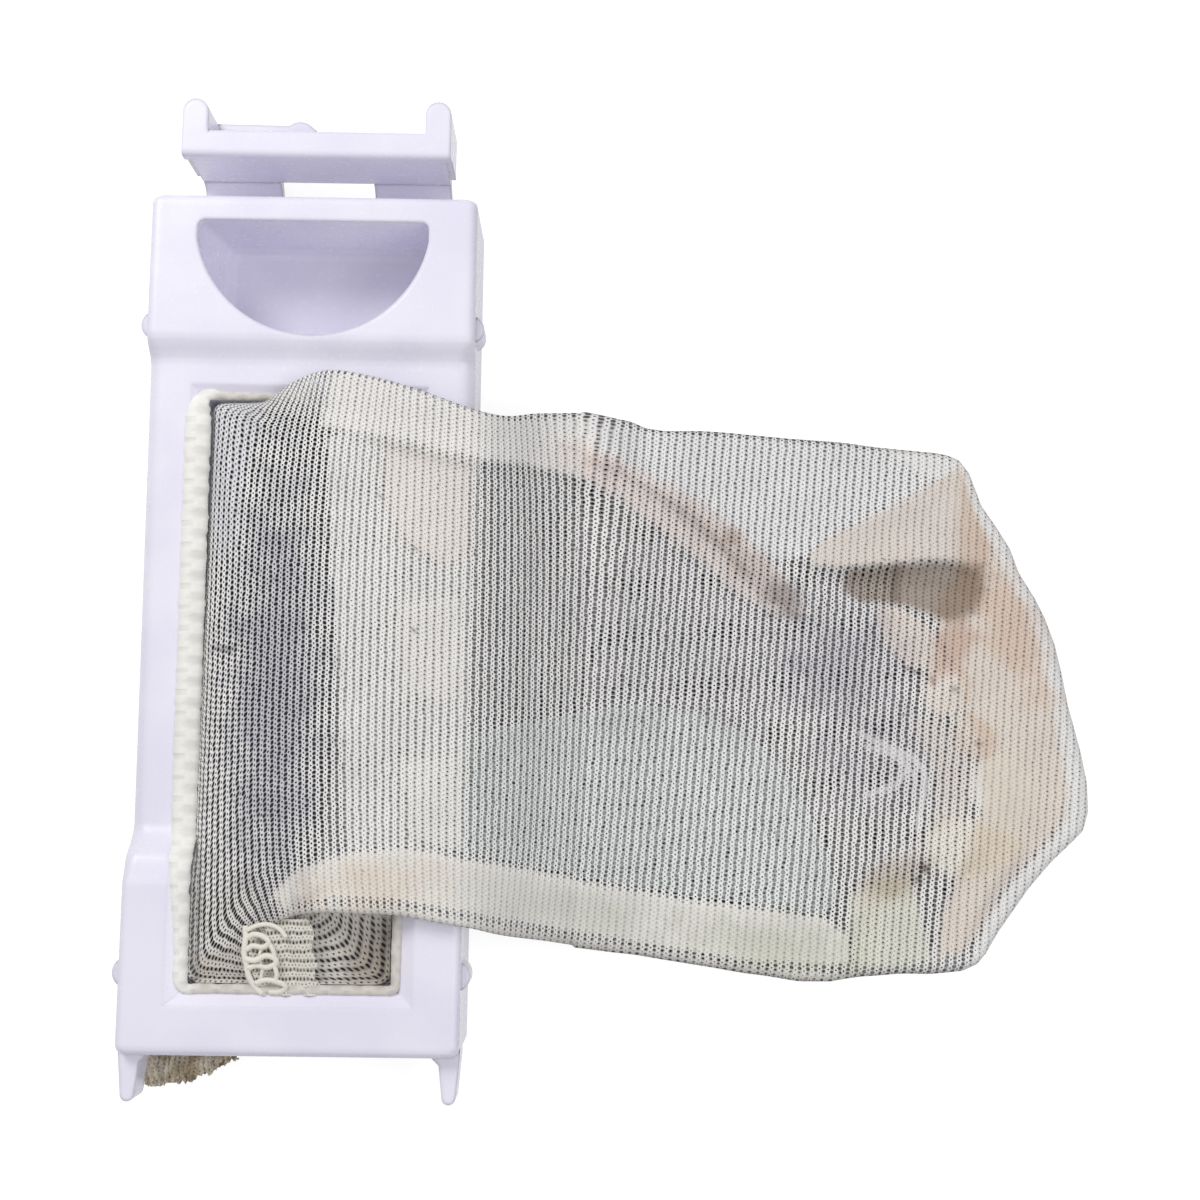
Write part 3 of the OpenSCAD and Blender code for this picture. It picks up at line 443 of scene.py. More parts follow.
def crease(x, y, line, height, left, right):
    """A raised fold along a line, with its own width on each side, that dies out at both ends."""
    away = np.full(len(x), 1e9)
    side = np.ones(len(x))
    at = np.zeros(len(x))
    for k, ((ax, ay), (cx, cy)) in enumerate(zip(line[:-1], line[1:])):
        bx, by = cx - ax, cy - ay
        t = clamp(((x - ax) * bx + (y - ay) * by) / (bx * bx + by * by))
        gone = np.hypot(x - ax - bx * t, y - ay - by * t)
        hit = gone < away
        away = np.where(hit, gone, away)
        side = np.where(hit, np.sign(bx * (y - ay) - by * (x - ax)), side)
        at = np.where(hit, (k + t) / (len(line) - 1), at)
    width = np.where(side > 0, left, right)
    taper = np.sqrt(np.maximum(0.0, np.sin(np.pi * clamp(0.06 + 0.88 * at))))
    return height * taper * np.exp(-(away / width) ** 2)


def inside_share(x, y, outline, soft):
    """1 inside an outline and 0 outside it, with a soft edge."""
    odd = np.zeros(len(x), bool)
    away = np.full(len(x), 1e9)
    for (ax, ay), (bx, by) in zip(outline, outline[1:] + outline[:1]):
        cut = ax + (y - ay) / ((by - ay) or 1.0) * (bx - ax)
        odd ^= ((ay > y) != (by > y)) & (x < cut)
        t = clamp(((x - ax) * (bx - ax) + (y - ay) * (by - ay)) / ((bx - ax) ** 2 + (by - ay) ** 2))
        away = np.minimum(away, np.hypot(x - ax - t * (bx - ax), y - ay - t * (by - ay)))
    return ease(np.where(odd, away, -away) / soft + 0.5)


def bag_rings():
    """The net's rings: over the window and the rail, then flat on the table."""
    rings = []
    for k, row in enumerate(spline(ROUTE, ROUTE_STEPS)):
        flat = float(ease((k / ROUTE_STEPS - 3.2) / 4.2))
        rings.append(soften(ring(row, flat), 3 if flat < 0.5 else 1))
    last = ROUTE[-1]
    away = np.abs(RING_U)
    bend = clamp((away - 0.95) / 0.05)
    rolled = 1 - np.sqrt(np.maximum(0, 1 - bend * bend))
    start_x = mix(np.where(RING_UPPER, last[0], last[2]), last[4], away ** 3)
    start_z = np.where(RING_UPPER, last[1], last[3])
    end_x = np.interp(mix(END_Y[0], END_Y[-1], (RING_U + 1) / 2), END_Y, END_X)
    for k in range(1, LAY_STEPS + 1):
        s = k / LAY_STEPS
        x = mix(start_x, end_x, s)
        foot_y, head_y = np.interp(x, FOOT_X, FOOT_Y), np.interp(x, HEAD_X, HEAD_Y)
        y = (foot_y + head_y) / 2 + (head_y - foot_y) / 2 * RING_U
        settle = ease(s / 0.18)
        low = mix(last[3], 0.7, settle)
        middle = (mix(last[1], 4.3, settle) + low) / 2
        level = np.where(RING_UPPER, mix(start_z, 4.3, settle), low)
        closing = clamp((s - 0.955) / 0.045)
        z = mix(level, middle, np.maximum(rolled, 1 - math.sqrt(max(0, 1 - closing * closing))))
        rings.append(np.stack([x, y, z], 1))
    return rings


def shape_upper(rings):
    """Creases, lumps, pleats and waviness on the upper layer."""
    count = len(rings)
    points = np.concatenate(rings)
    upper = np.tile(RING_UPPER, count)
    x, y, z = points.T
    u = np.tile(np.abs(RING_U), count)
    station = np.repeat(np.arange(count), AROUND)
    free = ease((station - 3.4 * ROUTE_STEPS) / (1.5 * ROUTE_STEPS))
    inner = ease((1.0 - u) / 0.07) * (1 - 0.8 * ease((station / (count - 1) - 0.93) / 0.07))
    lift = 0.40 * waviness(x, y, 12.0, 3.0) + 0.22 * waviness(x, y, 4.5, 8.0)
    for line, height, left, right in CREASES:
        lift = lift + crease(x, y, line, height, left, right)
    for mx, my, radius, height in LUMPS:
        lift = lift + height * np.exp(-((x - mx) ** 2 + (y - my) ** 2) / (radius * radius))
    # Fine pleats that fan out from the window's corners
    for cx, cy, reach in ((-15.0, 38.0, 15.0), (-13.0, -61.0, 14.0)):
        away, angle = np.hypot(x - cx, y - cy), np.arctan2(y - cy, x - cx)
        lift = lift + 0.28 * np.exp(-(away / reach) ** 2) * np.sin(angle * 19) * ease(away / 4.0)
    # The foot pocket sags into two soft hollows
    lift = lift - 1.2 * np.exp(-((x - 10) / 6) ** 2 - ((y + 59) / 3.5) ** 2) + 0.8 * np.exp(-((x - 2) / 4) ** 2 - ((y + 60) / 4) ** 2)
    lower_lift = np.maximum(0.30 * waviness(x, y, 11.0, 21.0) * inner * free, -0.3)
    z = z + np.where(upper, lift * inner * free, lower_lift)
    # Beside the window's walls the net comes up to the edge
    beside = ease((3.2 - np.minimum(18.2 - np.abs(x), y + 64.2)) / 2.0) * (station > 3.2 * ROUTE_STEPS) * (np.abs(x) < 18.3)
    z = np.maximum(z, mix(0.0, np.interp(y, LIP_Y, LIP_Z) - 0.3, beside))
    y = y + 0.35 * waviness(x, z + 40, 8.0, 5.0) * ease((u - 0.85) / 0.15) * free
    return np.stack([x, y, z], 1)


def colouring(x, y, doubled):
    """How closed the knit looks and its tint at each point. Only the upper layer shows where cloth is doubled."""
    wob_x, wob_y = 0.5 * waviness(x, y, 1.7, 40.0), 0.5 * waviness(x, y, 1.7, 44.0)
    closed = np.zeros(len(x))
    tint = np.ones((len(x), 3))
    for outline, closing, tone, soft, _ in DOUBLED:
        share = inside_share(x + wob_x, y + wob_y, outline, soft) * doubled
        closed = np.maximum(closed, closing * share)
        tint *= mix(np.ones(3), np.array(linear(tone)[:3]), share[:, None])
    ragged = 0.55 * waviness(x, y, 5.0, 50.0) + 0.35 * waviness(x, y, 1.6, 52.0)
    for mx, my, wide, high, turn, tone, strength in STAINS_AND_SHADE:
        c, s = math.cos(math.radians(turn)), math.sin(math.radians(turn))
        px, py = ((x - mx) * c + (y - my) * s) / wide, ((y - my) * c - (x - mx) * s) / high
        share = ease((1.25 - np.hypot(px, py) - ragged * 0.8) / 1.05) * strength
        tint *= mix(np.ones(3), np.array(linear(tone)[:3]), share[:, None])
    return closed, tint


def hidden_layer(outline, share, seed):
    """A patch of doubled cloth between the lower and the upper layer, with a clean edge."""
    edge = np.array(outline, float)
    line = []
    for a, b in zip(edge, np.roll(edge, -1, 0)):
        count = max(1, int(np.linalg.norm(b - a) / 1.2))
        line += [a + (b - a) * k / count for k in range(count)]
    line = np.array(line)
    line += 0.25 * np.stack([waviness(line[:, 0], line[:, 1], 1.3, seed), waviness(line[:, 0], line[:, 1], 1.3, seed + 5)], 1)
    low, high = line.min(0), line.max(0)
    gx, gy = np.meshgrid(np.arange(low[0], high[0], 1.6), np.arange(low[1], high[1], 1.4))
    gx, gy = gx.ravel(), gy.ravel()
    keep = inside_share(gx, gy, [tuple(p) for p in line], 0.1) > 0.9
    points = np.concatenate([line, np.stack([gx[keep], gy[keep]], 1)])
    made = geometry.delaunay_2d_cdt([Vector(p) for p in points], [], [list(range(len(line)))], 1, 1e-4)
    flat = np.array([[p[0], p[1]] for p in made[0]])
    x, y = flat.T
    lower = np.where(x < 6.2, np.interp(x, UPPER_X, UPPER_Z) - 3.0, np.interp(x, LOWER_X, LOWER_Z))
    z = mix(lower, np.interp(x, UPPER_X, UPPER_Z), share) - 0.45 + 0.25 * waviness(x, y, 8.0, seed + 1)
    return np.column_stack([flat, z]), [tuple(face) for face in made[2]]


def window_roll():
    """The net's rim that stands up as a soft roll along the window's edge: points, faces and cloth coordinates."""
    half, foot, head, round_r = 17.95, -63.9, 38.1, 0.9
    path = []
    for cx, cy, start in ((half - round_r, head - round_r, 0), (-half + round_r, head - round_r, 90),
                          (-half + round_r, foot + round_r, 180), (half - round_r, foot + round_r, 270)):
        path += [(cx + round_r * math.cos(math.radians(start + a)), cy + round_r * math.sin(math.radians(start + a)))
                 for a in range(0, 91, 30)]
    path = np.array(path + path[:1])
    gone = np.concatenate([[0], np.cumsum(np.linalg.norm(path[1:] - path[:-1], axis=1))])
    count = int(gone[-1] / 0.8)
    at = np.linspace(0, gone[-1], count, endpoint=False)
    line = np.stack([np.interp(at, gone, path[:, i]) for i in range(2)], 1)
    along = np.roll(line, -1, 0) - np.roll(line, 1, 0)
    along /= np.linalg.norm(along, axis=1)[:, None]
    out = np.stack([along[:, 1], -along[:, 0]], 1)
    left = ease((-line[:, 0] - 15) / 2.6) * mix(0.3, 1.0, ease((line[:, 1] + 60) / 26)) * ease((line[:, 1] + 65) / 3) * ease((39 - line[:, 1]) / 3)
    high = ease((line[:, 1] - 36.5) / 1.2)
    wide = 0.85 - 0.15 * high + 1.45 * left + (0.2 + 0.2 * left) * waviness(at, at, 1.7, 61.0)
    tall = 0.85 - 0.25 * high + 0.25 * left + 0.28 * waviness(at, at, 1.3, 64.0)
    level = np.interp(line[:, 1], LIP_Y, LIP_Z) + 0.1 + 1.5 * left + 0.5 * high
    sides = 14
    points, cloth, faces = [], [], []
    for k in range(count):
        for i in range(sides):
            turn = 2 * math.pi * i / sides
            reach = out[k] * (wide[k] * math.cos(turn) + 1.75 * left[k] + 1.0 * high[k])
            points.append((line[k, 0] + reach[0], line[k, 1] + reach[1], level[k] + tall[k] * math.sin(turn)))
            n, m = (k + 1) % count, (i + 1) % sides
            faces.append((k * sides + i, n * sides + i, n * sides + m, k * sides + m))
            # Seen from its edge the knit shows no gaps, so the roll stays on the middle of one chain
            cloth.append([(0.14 * math.sin(1.7 * at[c % count]), 0.4 + 0.16 * math.sin(0.9 * d)) for c, d in
                          ((k, i), (k + 1, i), (k + 1, i + 1), (k, i + 1))])
    return np.array(points), faces, cloth


# A short strip of the bag's own cloth that hangs out of the seam's end over the window's foot
END_STRIP = [(-6.4, -53), (-0.5, -52.0), (3.0, -52.0), (4.3, -54.4), (3.7, -57.0), (4.8, -59.4), (4.2, -61.6), (5.4, -63.4), (4.4, -64.9),
             (-4.4, -64.9), (-6.2, -61.3), (-6.8, -56.3)]


def cloth_places(grid):
    """Where each point lies on the cloth, across and along the wales, read for the upper and for the lower layer. Round
    the window the wales follow the rings, and on the table they run straight."""
    count = len(grid)
    middle = grid[:, HALF // 4:3 * HALF // 4]
    steps = np.hypot(middle[1:, :, 0] - middle[:-1, :, 0], middle[1:, :, 2] - middle[:-1, :, 2]).mean(1)
    across = np.concatenate([[0], np.cumsum(steps * np.interp(middle[1:, :, 0].mean(1), STRETCH_X, STRETCH))])[:, None]
    step = FABRIC_ROUND / AROUND
    table = (len(ROUTE) - 1) * ROUTE_STEPS
    laid = ease((np.arange(count) - table + 14) / 28)[:, None]
    gone, y = grid[:, :, 0] - ROUTE[-1][0], grid[:, :, 1]
    width = HEAD_Y[0] - FOOT_Y[0]
    tilt = 0.04 * gone + 0.0008 * gone * np.abs(gone)
    upper_x = mix(across, across[table] + STRETCH[-1] * gone - 0.07 * (y + 9), laid)
    upper_y = mix(np.arange(AROUND) * step + 0 * y, (HEAD_Y[0] - y) * HALF * step / width - tilt, laid)
    lower_x = mix(across, across[table] + 0.84 * gone + 0.06 * (y + 9) + 0.4, laid)
    lower_y = mix((np.arange(AROUND) + 1) * step + 0 * y, (HALF + 1 + (y - FOOT_Y[0]) * HALF / width) * step + 0.03 * gone, laid)
    return np.stack([upper_x, upper_y], 2), np.stack([lower_x, lower_y], 2)


def build_net(material):
    """The bag, its doubled layers, the roll at the window's edge and the strip at the seam's end, as one cloth."""
    rings = bag_rings()
    count = len(rings)
    points = shape_upper(rings)
    grid = points.reshape(count, AROUND, 3)
    station = np.repeat(np.arange(count), AROUND)
    upper = np.tile(RING_UPPER, count) & (station > 3 * ROUTE_STEPS)
    pocket = (station > 3 * ROUTE_STEPS) & (points[:, 1] < -50) & (points[:, 0] < 18)
    closed, tint = colouring(points[:, 0], points[:, 1], (upper | pocket).astype(float))
    closed = np.maximum(closed, 0.85 * ease((station / (count - 1) - 0.962) / 0.018))
    for path, _ in TAILS:
        closed = np.maximum(closed, 0.85 * upper * crease(points[:, 0], points[:, 1], path, 1.0, 0.8, 0.8))
    # The lower layer lies in the shade of the upper one
    shade = ease((0.96 - np.tile(np.abs(RING_U), count)) / 0.06) * ease((station - 5 * ROUTE_STEPS) / 12) * ~np.tile(RING_UPPER, count)
    tint *= mix(np.ones(3), np.array(linear(LAYER_SHADE)[:3]), shade[:, None])
    closed = np.maximum(closed, 0.48 * shade)
    faces, cloth = [], []
    places = cloth_places(grid)
    for k in range(count - 1):
        for j in range(AROUND):
            n = (j + 1) % AROUND
            faces.append((k * AROUND + j, (k + 1) * AROUND + j, (k + 1) * AROUND + n, k * AROUND + n))
            place = places[0 if j < HALF else 1]
            a, b = place[k, j], place[k + 1, j]
            c, d = (place[k + 1, n], place[k, n]) if n else (b + (0, FABRIC_ROUND / AROUND), a + (0, FABRIC_ROUND / AROUND))
            cloth.append([tuple(a), tuple(b), tuple(c), tuple(d)])
    all_points, all_closed, all_tint = [points], [closed], [tint]
    base = len(points)
    turns = (0.05, -0.12, 0.16, 0.5, -0.9, 0.4, -0.05, 0.2)
    patches = [(outline, 0.5 + closing * 0.5, share) for outline, closing, _, _, share in DOUBLED if share is not None]
    for number, (outline, closing, share) in enumerate(patches):
        patch, patch_faces = hidden_layer(outline, share, 31.0 + number)
        c, s = math.cos(turns[number % 8]), math.sin(turns[number % 8])
        turned = np.column_stack([patch[:, 0] * c - patch[:, 1] * s, patch[:, 0] * s + patch[:, 1] * c])
        _, patch_tint = colouring(patch[:, 0], patch[:, 1], np.ones(len(patch)))
        all_points.append(patch)
        all_closed.append(np.full(len(patch), closing))
        all_tint.append(patch_tint)
        faces += [tuple(base + i for i in face) for face in patch_faces]
        cloth += [[tuple(turned[i]) for i in face] for face in patch_faces]
        base += len(patch)
    roll, roll_faces, roll_cloth = window_roll()
    # Thin and in the shade on three sides, thick and bright on the left
    bright = ease((-roll[:, 0] - 15) / 3)
    all_points.append(roll)
    all_closed.append(np.full(len(roll), 0.95))
    all_tint.append(mix(np.array(linear("#E6E2DC")[:3]), np.array(linear("#FFFFFC")[:3]), bright[:, None]))
    faces += [tuple(base + i for i in face) for face in roll_faces]
    cloth += roll_cloth
    base += len(roll)
    strip, strip_faces = hidden_layer(END_STRIP, 1.0, 71.0)
    strip[:, 2] = 20.3 - 1.6 * ease((-54.5 - strip[:, 1]) / 9) + 0.5 * np.sin(strip[:, 0] * 1.5 + strip[:, 1] * 0.35)
    all_points.append(strip)
    all_closed.append(np.full(len(strip), 0.55))
    all_tint.append(np.tile(np.array(linear("#F4F1E8")[:3]), (len(strip), 1)))
    faces += [tuple(base + i for i in face) for face in strip_faces]
    cloth += [[(strip[i, 1] * 0.8, strip[i, 0] * 1.3) for i in face] for face in strip_faces]

    piece = mesh_object("knitted_net", np.concatenate(all_points), faces, material)
    paint_cloth(piece, cloth, np.concatenate(all_closed), np.concatenate(all_tint))
    layer = points[upper]
    return piece, lambda x, y: float(layer[np.argmin((layer[:, 0] - x) ** 2 + (layer[:, 1] - y) ** 2), 2])


def paint_cloth(piece, cloth, closed, tint):
    """Gives the mesh its cloth coordinates, how closed the knit is, and its tint."""
    mesh = piece.data
    corners = np.zeros(len(mesh.loops), np.int32)
    mesh.loops.foreach_get("vertex_index", corners)
    values = np.zeros((len(mesh.loops), 3), np.float32)
    values[:, :2] = [pair for face in cloth for pair in face]
    values[:, 2] = closed[corners]
    mesh.attributes.new("fabric_mm", "FLOAT_VECTOR", "CORNER").data.foreach_set("vector", values.ravel())
    colours = np.ones((len(tint), 4), np.float32)
    colours[:, :3] = tint
    mesh.attributes.new("net_tint", "FLOAT_COLOR", "POINT").data.foreach_set("color", colours.ravel())


# Yarns

def tube(points, radius, sides=7, squeeze=1.0):
    """A round or flattened yarn along points, as points and faces, with closed ends."""
    path = np.array(points, float)
    count = len(path)
    made, faces = [], []
    normal = np.array([0.0, 0.0, 1.0])
    for k in range(count):
        along = path[min(count - 1, k + 1)] - path[max(0, k - 1)]
        along /= max(1e-9, np.linalg.norm(along))
        side = np.cross(normal, along)
        if np.linalg.norm(side) < 1e-6:
            side = np.array([1.0, 0.0, 0.0])
        side /= np.linalg.norm(side)
        normal = np.cross(along, side)
        for i in range(sides):
            turn = 2 * math.pi * i / sides
            made.append(path[k] + radius * (side * math.cos(turn) + normal * math.sin(turn) * squeeze))
    for k in range(count - 1):
        for i in range(sides):
            a, b = k * sides + i, k * sides + (i + 1) % sides
            faces.append((a, b, b + sides, a + sides))
    faces.append(tuple(range(sides))[::-1])
    faces.append(tuple((count - 1) * sides + i for i in range(sides)))
    return made, faces


def yarns(name, lines, material):
    """One piece from several yarns, each given as points, radius and how flat it is."""
    points, faces = [], []
    for path, radius, squeeze in lines:
        made, built = tube(path, radius, squeeze=squeeze)
        faces += [tuple(len(points) + i for i in face) for face in built]
        points += made
    return mesh_object(name, points, faces, material)


def smooth_path(points, steps=6):
    return np.array(spline(np.array(points, float), steps))


def overlock(path, width, pitch, radius):
    """An overlock seam along a path: two needle threads and two looper threads that swing past them."""
    path = np.array(path, float)
    gone = np.concatenate([[0], np.cumsum(np.linalg.norm(path[1:] - path[:-1], axis=1))])
    at = np.linspace(0, gone[-1], int(gone[-1] / (pitch / 8)))
    line = np.stack([np.interp(at, gone, path[:, i]) for i in range(3)], 1)
    along = np.gradient(line, axis=0)
    along /= np.linalg.norm(along, axis=1)[:, None]
    side = np.cross([0, 0, 1.0], along)
    side /= np.maximum(1e-6, np.linalg.norm(side, axis=1))[:, None]
    swing = np.array([[math.sin(2 * math.pi * a / pitch), math.sin(4 * math.pi * a / pitch)] for a in at])
    uneven = waviness(at, np.full(len(at), 6.0), 3.0, 9.0)[:, None]
    looper = line + side * (swing[:, :1] * width / 2 * (1 + 0.25 * uneven)) + along * swing[:, 1:] * pitch * 0.22
    looper[:, 2] += 0.25 + 0.2 * np.abs(swing[:, 0])
    second = line + side * (-swing[:, :1] * width / 2.3) + along * swing[:, 1:] * pitch * 0.30
    second[:, 2] -= 0.1
    needles = [line + side * width * share + np.array([0, 0, 0.15]) for share in (-0.28, 0.22)]
    return [(looper, radius, 0.8), (second, radius, 0.8)] + [(needle[::2], radius * 0.8, 0.8) for needle in needles]


SIDE_PATH = [(4, -48.8, 20.2), (9, -48.4, 20.6), (16, -48.6, 21.0), (24, -49.6, 21.1), (30, -50.8, 19.8), (36, -52.0, 13.8),
             (41, -53.2, 8.2), (48, -54.6, 4.0), (57, -55.6, 2.5), (75, -57.9, 2.2), (92, -59.6, 2.2), (103, -58.9, 2.2)]
END_PATH = [(104.5, 3.4), (108.5, 0.4), (111.8, -4), (115, -9), (117, -13.6), (119.5, -18), (122.6, -22.6), (125.6, -27),
            (127.4, -31), (125.6, -36.5), (121, -40.5), (116, -43)]


def build_side_seam(material):
    """The overlock seam inside the bag's foot edge, and its open end: a ladder of loops over the window's foot."""
    lines = overlock(smooth_path(SIDE_PATH), 2.4, 2.3, 0.24)
    ladder = [
        ([(-7.4, -53.2, 20.2), (-7.3, -55.2, 20.5), (-7.5, -57.6, 20.3), (-7.1, -59.6, 20.0), (-6.7, -61.6, 19.6),
          (-5.7, -63.4, 19.1), (-4.4, -64.6, 18.8)], 0.52),
        ([(-7.3, -55.4, 20.4), (-6.0, -54.6, 20.9), (-4.4, -54.8, 21.1), (-3.3, -55.8, 21.0), (-4.3, -56.7, 20.7),
          (-6.0, -56.5, 20.5), (-7.2, -57.2, 20.3)], 0.48),
        ([(-7.2, -58.7, 20.2), (-5.6, -58.9, 20.6), (-3.8, -58.1, 20.8), (-2.3, -58.5, 20.7), (-2.1, -59.4, 20.5),
          (-3.6, -60.1, 20.2), (-5.4, -59.8, 20.1), (-6.8, -60.3, 19.9)], 0.52),
        ([(-5.6, -62.8, 19.4), (-3.8, -62.2, 19.9), (-2.0, -62.4, 19.9), (-0.5, -63.2, 19.5), (-1.4, -64.2, 19.1),
          (-3.4, -64.3, 19.0)], 0.46),
        ([(-3.2, -56.0, 20.9), (-2.5, -57.2, 20.9), (-2.2, -58.6, 20.7)], 0.40),
        ([(-2.4, -59.6, 20.5), (-1.9, -61.0, 20.3), (-2.1, -62.4, 19.9)], 0.40),
        ([(-7.2, -54.0, 20.5), (-5.4, -53.1, 20.9), (-3.4, -52.9, 21.0), (-1.6, -53.6, 20.9), (-0.4, -55.0, 20.8)], 0.40),
        ([(-4.6, -56.8, 20.5), (-4.9, -58.6, 20.2), (-4.4, -60.4, 20.0), (-4.8, -62.4, 19.4)], 0.30),
    ]
    lines += [(smooth_path(path), radius, 0.75) for path, radius in ladder]
    return yarns("side_overlock", lines, material)


def build_end_seam(material, net_height):
    """The seam across the far end, bunched into loops under the upper layer."""
    path = [(x, y, net_height(x, y) - 1.25) for x, y in smooth_path(END_PATH, 4)]
    lines = overlock(smooth_path(path, 2), 4.4, 2.6, 0.36)
    for cx, cy, size in ((115.2, -10.6, 2.6), (125.4, -29.0, 3.2)):
        coil = [(cx + size * math.cos(a) * (1 + 0.16 * math.sin(a * 2.7)), cy + size * math.sin(a) * (1 + 0.12 * math.cos(a * 1.9)))
                for a in np.arange(0, 19, 0.3)]
        lines.append(([(x, y, net_height(x, y) - 0.85 - 0.2 * math.sin(k * 0.4)) for k, (x, y) in enumerate(coil)], 0.36, 0.8))
    return yarns("end_overlock", lines, material)


TAILS = [
    ([(99, -18.5), (101.9, -19.9), (105.5, -21.6), (108.6, -22.9), (110.9, -25.5), (111, -29.1), (109.9, -33.4), (109.7, -36.3)], 0.55),
    ([(100.1, -21), (103.7, -21.8), (106.8, -22.9), (107.5, -25.2), (105.8, -27.9), (102.4, -29.2), (99.9, -30.3)], 0.50),
    ([(104.0, -22.2), (107.4, -24.0), (109.2, -26.8), (109.0, -30.0)], 0.40),
]


def build_tails(material, net_height):
    """Loose ends of the seam's thread, pressed flat against the upper layer from inside."""
    lines = []
    for path, radius in TAILS:
        smooth = smooth_path([(x, y, 0.0) for x, y in path])
        lines.append(([(x, y, net_height(x, y) - 0.30) for x, y, _ in smooth], radius, 0.30))
    return yarns("thread_ends", lines, material)


def build_fray(material):
    """The net's torn edge that hangs out at the foot of the case: crumpled strips of the same cloth."""
    points, faces, cloth = [], [], []
    wide, deep = 56, 16
    for layer in range(3):
        base = len(points)
        for i in range(wide + 1):
            u = i / wide
            x0 = mix(-27.4, -11.4, u)
            reach = (6.9 - 5.2 * u ** 2.6 + 0.9 * noise.noise(Vector((u * 9, layer * 3.1, 5.0)))
                     + 0.8 * noise.noise(Vector((u * 34, layer * 2.3, 8.0)))) * (1 - 0.12 * layer)
            for j in range(deep + 1):
                v = j / deep
                inner = clamp(v / 0.35)
                outer = clamp((v - 0.35) / 0.65)
                wave = noise.noise(Vector((u * 11, v * 2.2, layer * 4.0)))
                fine = noise.noise(Vector((u * 40, v * 6, layer * 5.0 + 2)))
                y = -70.9 - 4.0 * inner - (reach + 0.6) * outer
                z = mix(6.4, 1.4, ease(inner * 1.2)) + 4.6 * math.sin(outer * 2.0) * (0.55 + 0.25 * layer) * (1 - 0.5 * u)
                z = float(z + (1.6 * wave + 0.9 * fine) * (0.25 + outer))
                points.append((x0 + 0.9 * wave * outer, y + 0.5 * fine * outer, max(z, 0.45 + 0.25 * layer)
                               if outer > 0 else min(max(z, 0.5), 6.6)))
        for i in range(wide):
            for j in range(deep):
                a = base + i * (deep + 1) + j
                faces.append((a, a + deep + 1, a + deep + 2, a + 1))
                cloth.append([((i + di) * 0.42 + 60 * layer, (j + dj) * 0.62) for di, dj in ((0, 0), (1, 0), (1, 1), (0, 1))])
    # Yarns that have come loose from the torn edge
    for i in range(34):
        jitter = [noise.noise(Vector((i * 3.1, k, 2.0))) for k in range(6)]
        x = -27 + 15.0 * (i / 33) + jitter[0]
        reach = -77.6 - 2.2 * abs(jitter[1]) - 1.6 * (1 - i / 33)
        top = 1.4 + 4.0 * abs(jitter[2]) * (1 - 0.4 * i / 33)
        path = [(x, -75.3, 1.8 + 0.3 * top), (x + 1.2 * jitter[4], -76.6, 0.9 + 0.7 * top), (x + 2.4 * jitter[4], reach, 0.6 + 0.8 * top),
                (x + 4.5 * jitter[4] + jitter[5], reach - 1.0 * abs(jitter[5]), 0.7 + 0.6 * top)]
        made, built = tube(smooth_path(path, 3), 0.17, sides=5)
        base = len(points)
        points += [tuple(p) for p in made]
        faces += [tuple(base + k for k in face) for face in built]
        cloth += [[(0.6 * k, 0.1) for k in range(len(face))] for face in built]
    piece = mesh_object("frayed_edge", points, faces, material)
    brown = np.array([noise.noise(Vector((p[0] / 3, p[1] / 3, 3.0))) for p in points])
    tint = mix(np.array(linear("#F4EAD6")[:3]), np.array(linear("#C8B799")[:3]), ease(brown * 1.4 + 0.4)[:, None])
    paint_cloth(piece, cloth, np.full(len(points), 0.80), tint)
    return piece


# Settings and operators

class LintFilterSettings(bpy.types.PropertyGroup):
    """Sizes, colours and light levels that a user may change"""

    case_colour: bpy.props.FloatVectorProperty(name="Case colour", description="Colour of the moulded case", size=4, min=0.0,
                                               max=1.0, default=linear("#F1EFFC"), subtype="COLOR")
    case_shade: bpy.props.FloatVectorProperty(name="Case shade", description="Colour of the moulding's duller clouds", size=4,
                                              min=0.0, max=1.0, default=linear("#EAE7F8"), subtype="COLOR")
    net_colour: bpy.props.FloatVectorProperty(name="Net colour", description="Colour of the knitted yarn", size=4, min=0.0,
                                              max=1.0, default=linear("#F7F6F4"), subtype="COLOR")
    yarn_colour: bpy.props.FloatVectorProperty(name="Yarn colour", description="Colour of the seam's yarn", size=4, min=0.0,
                                               max=1.0, default=linear("#F5F2E9"), subtype="COLOR")
    case_gloss: bpy.props.FloatProperty(name="Case roughness", description="Roughness of the moulded case", default=0.26,
                                        min=0.05, max=1.0, subtype="FACTOR")
    wale_spacing: bpy.props.FloatProperty(name="Wale spacing", description="Distance between two chains of the knit in mm",
                                          default=1.25, min=0.5, max=4.0)
    course_spacing: bpy.props.FloatProperty(name="Course spacing", description="Distance between two loops of a chain in mm",
                                            default=0.80, min=0.3, max=4.0)
    key_power: bpy.props.FloatProperty(name="Key light", description="Power of the large soft light", default=1.58, min=0.0,
                                       unit="POWER")
    fill_power: bpy.props.FloatProperty(name="Fill light", description="Power of the fill light", default=0.75, min=0.0,
                                        unit="POWER")
    world_level: bpy.props.FloatProperty(name="Room light", description="Level of the even light from all sides",
                                         default=0.50, min=0.0)
    floor_size: bpy.props.FloatProperty(name="Floor size", description="Width of the floor", default=6.0, min=1.0,
                                        unit="LENGTH")


def settings():
    return bpy.context.scene.lint_filter


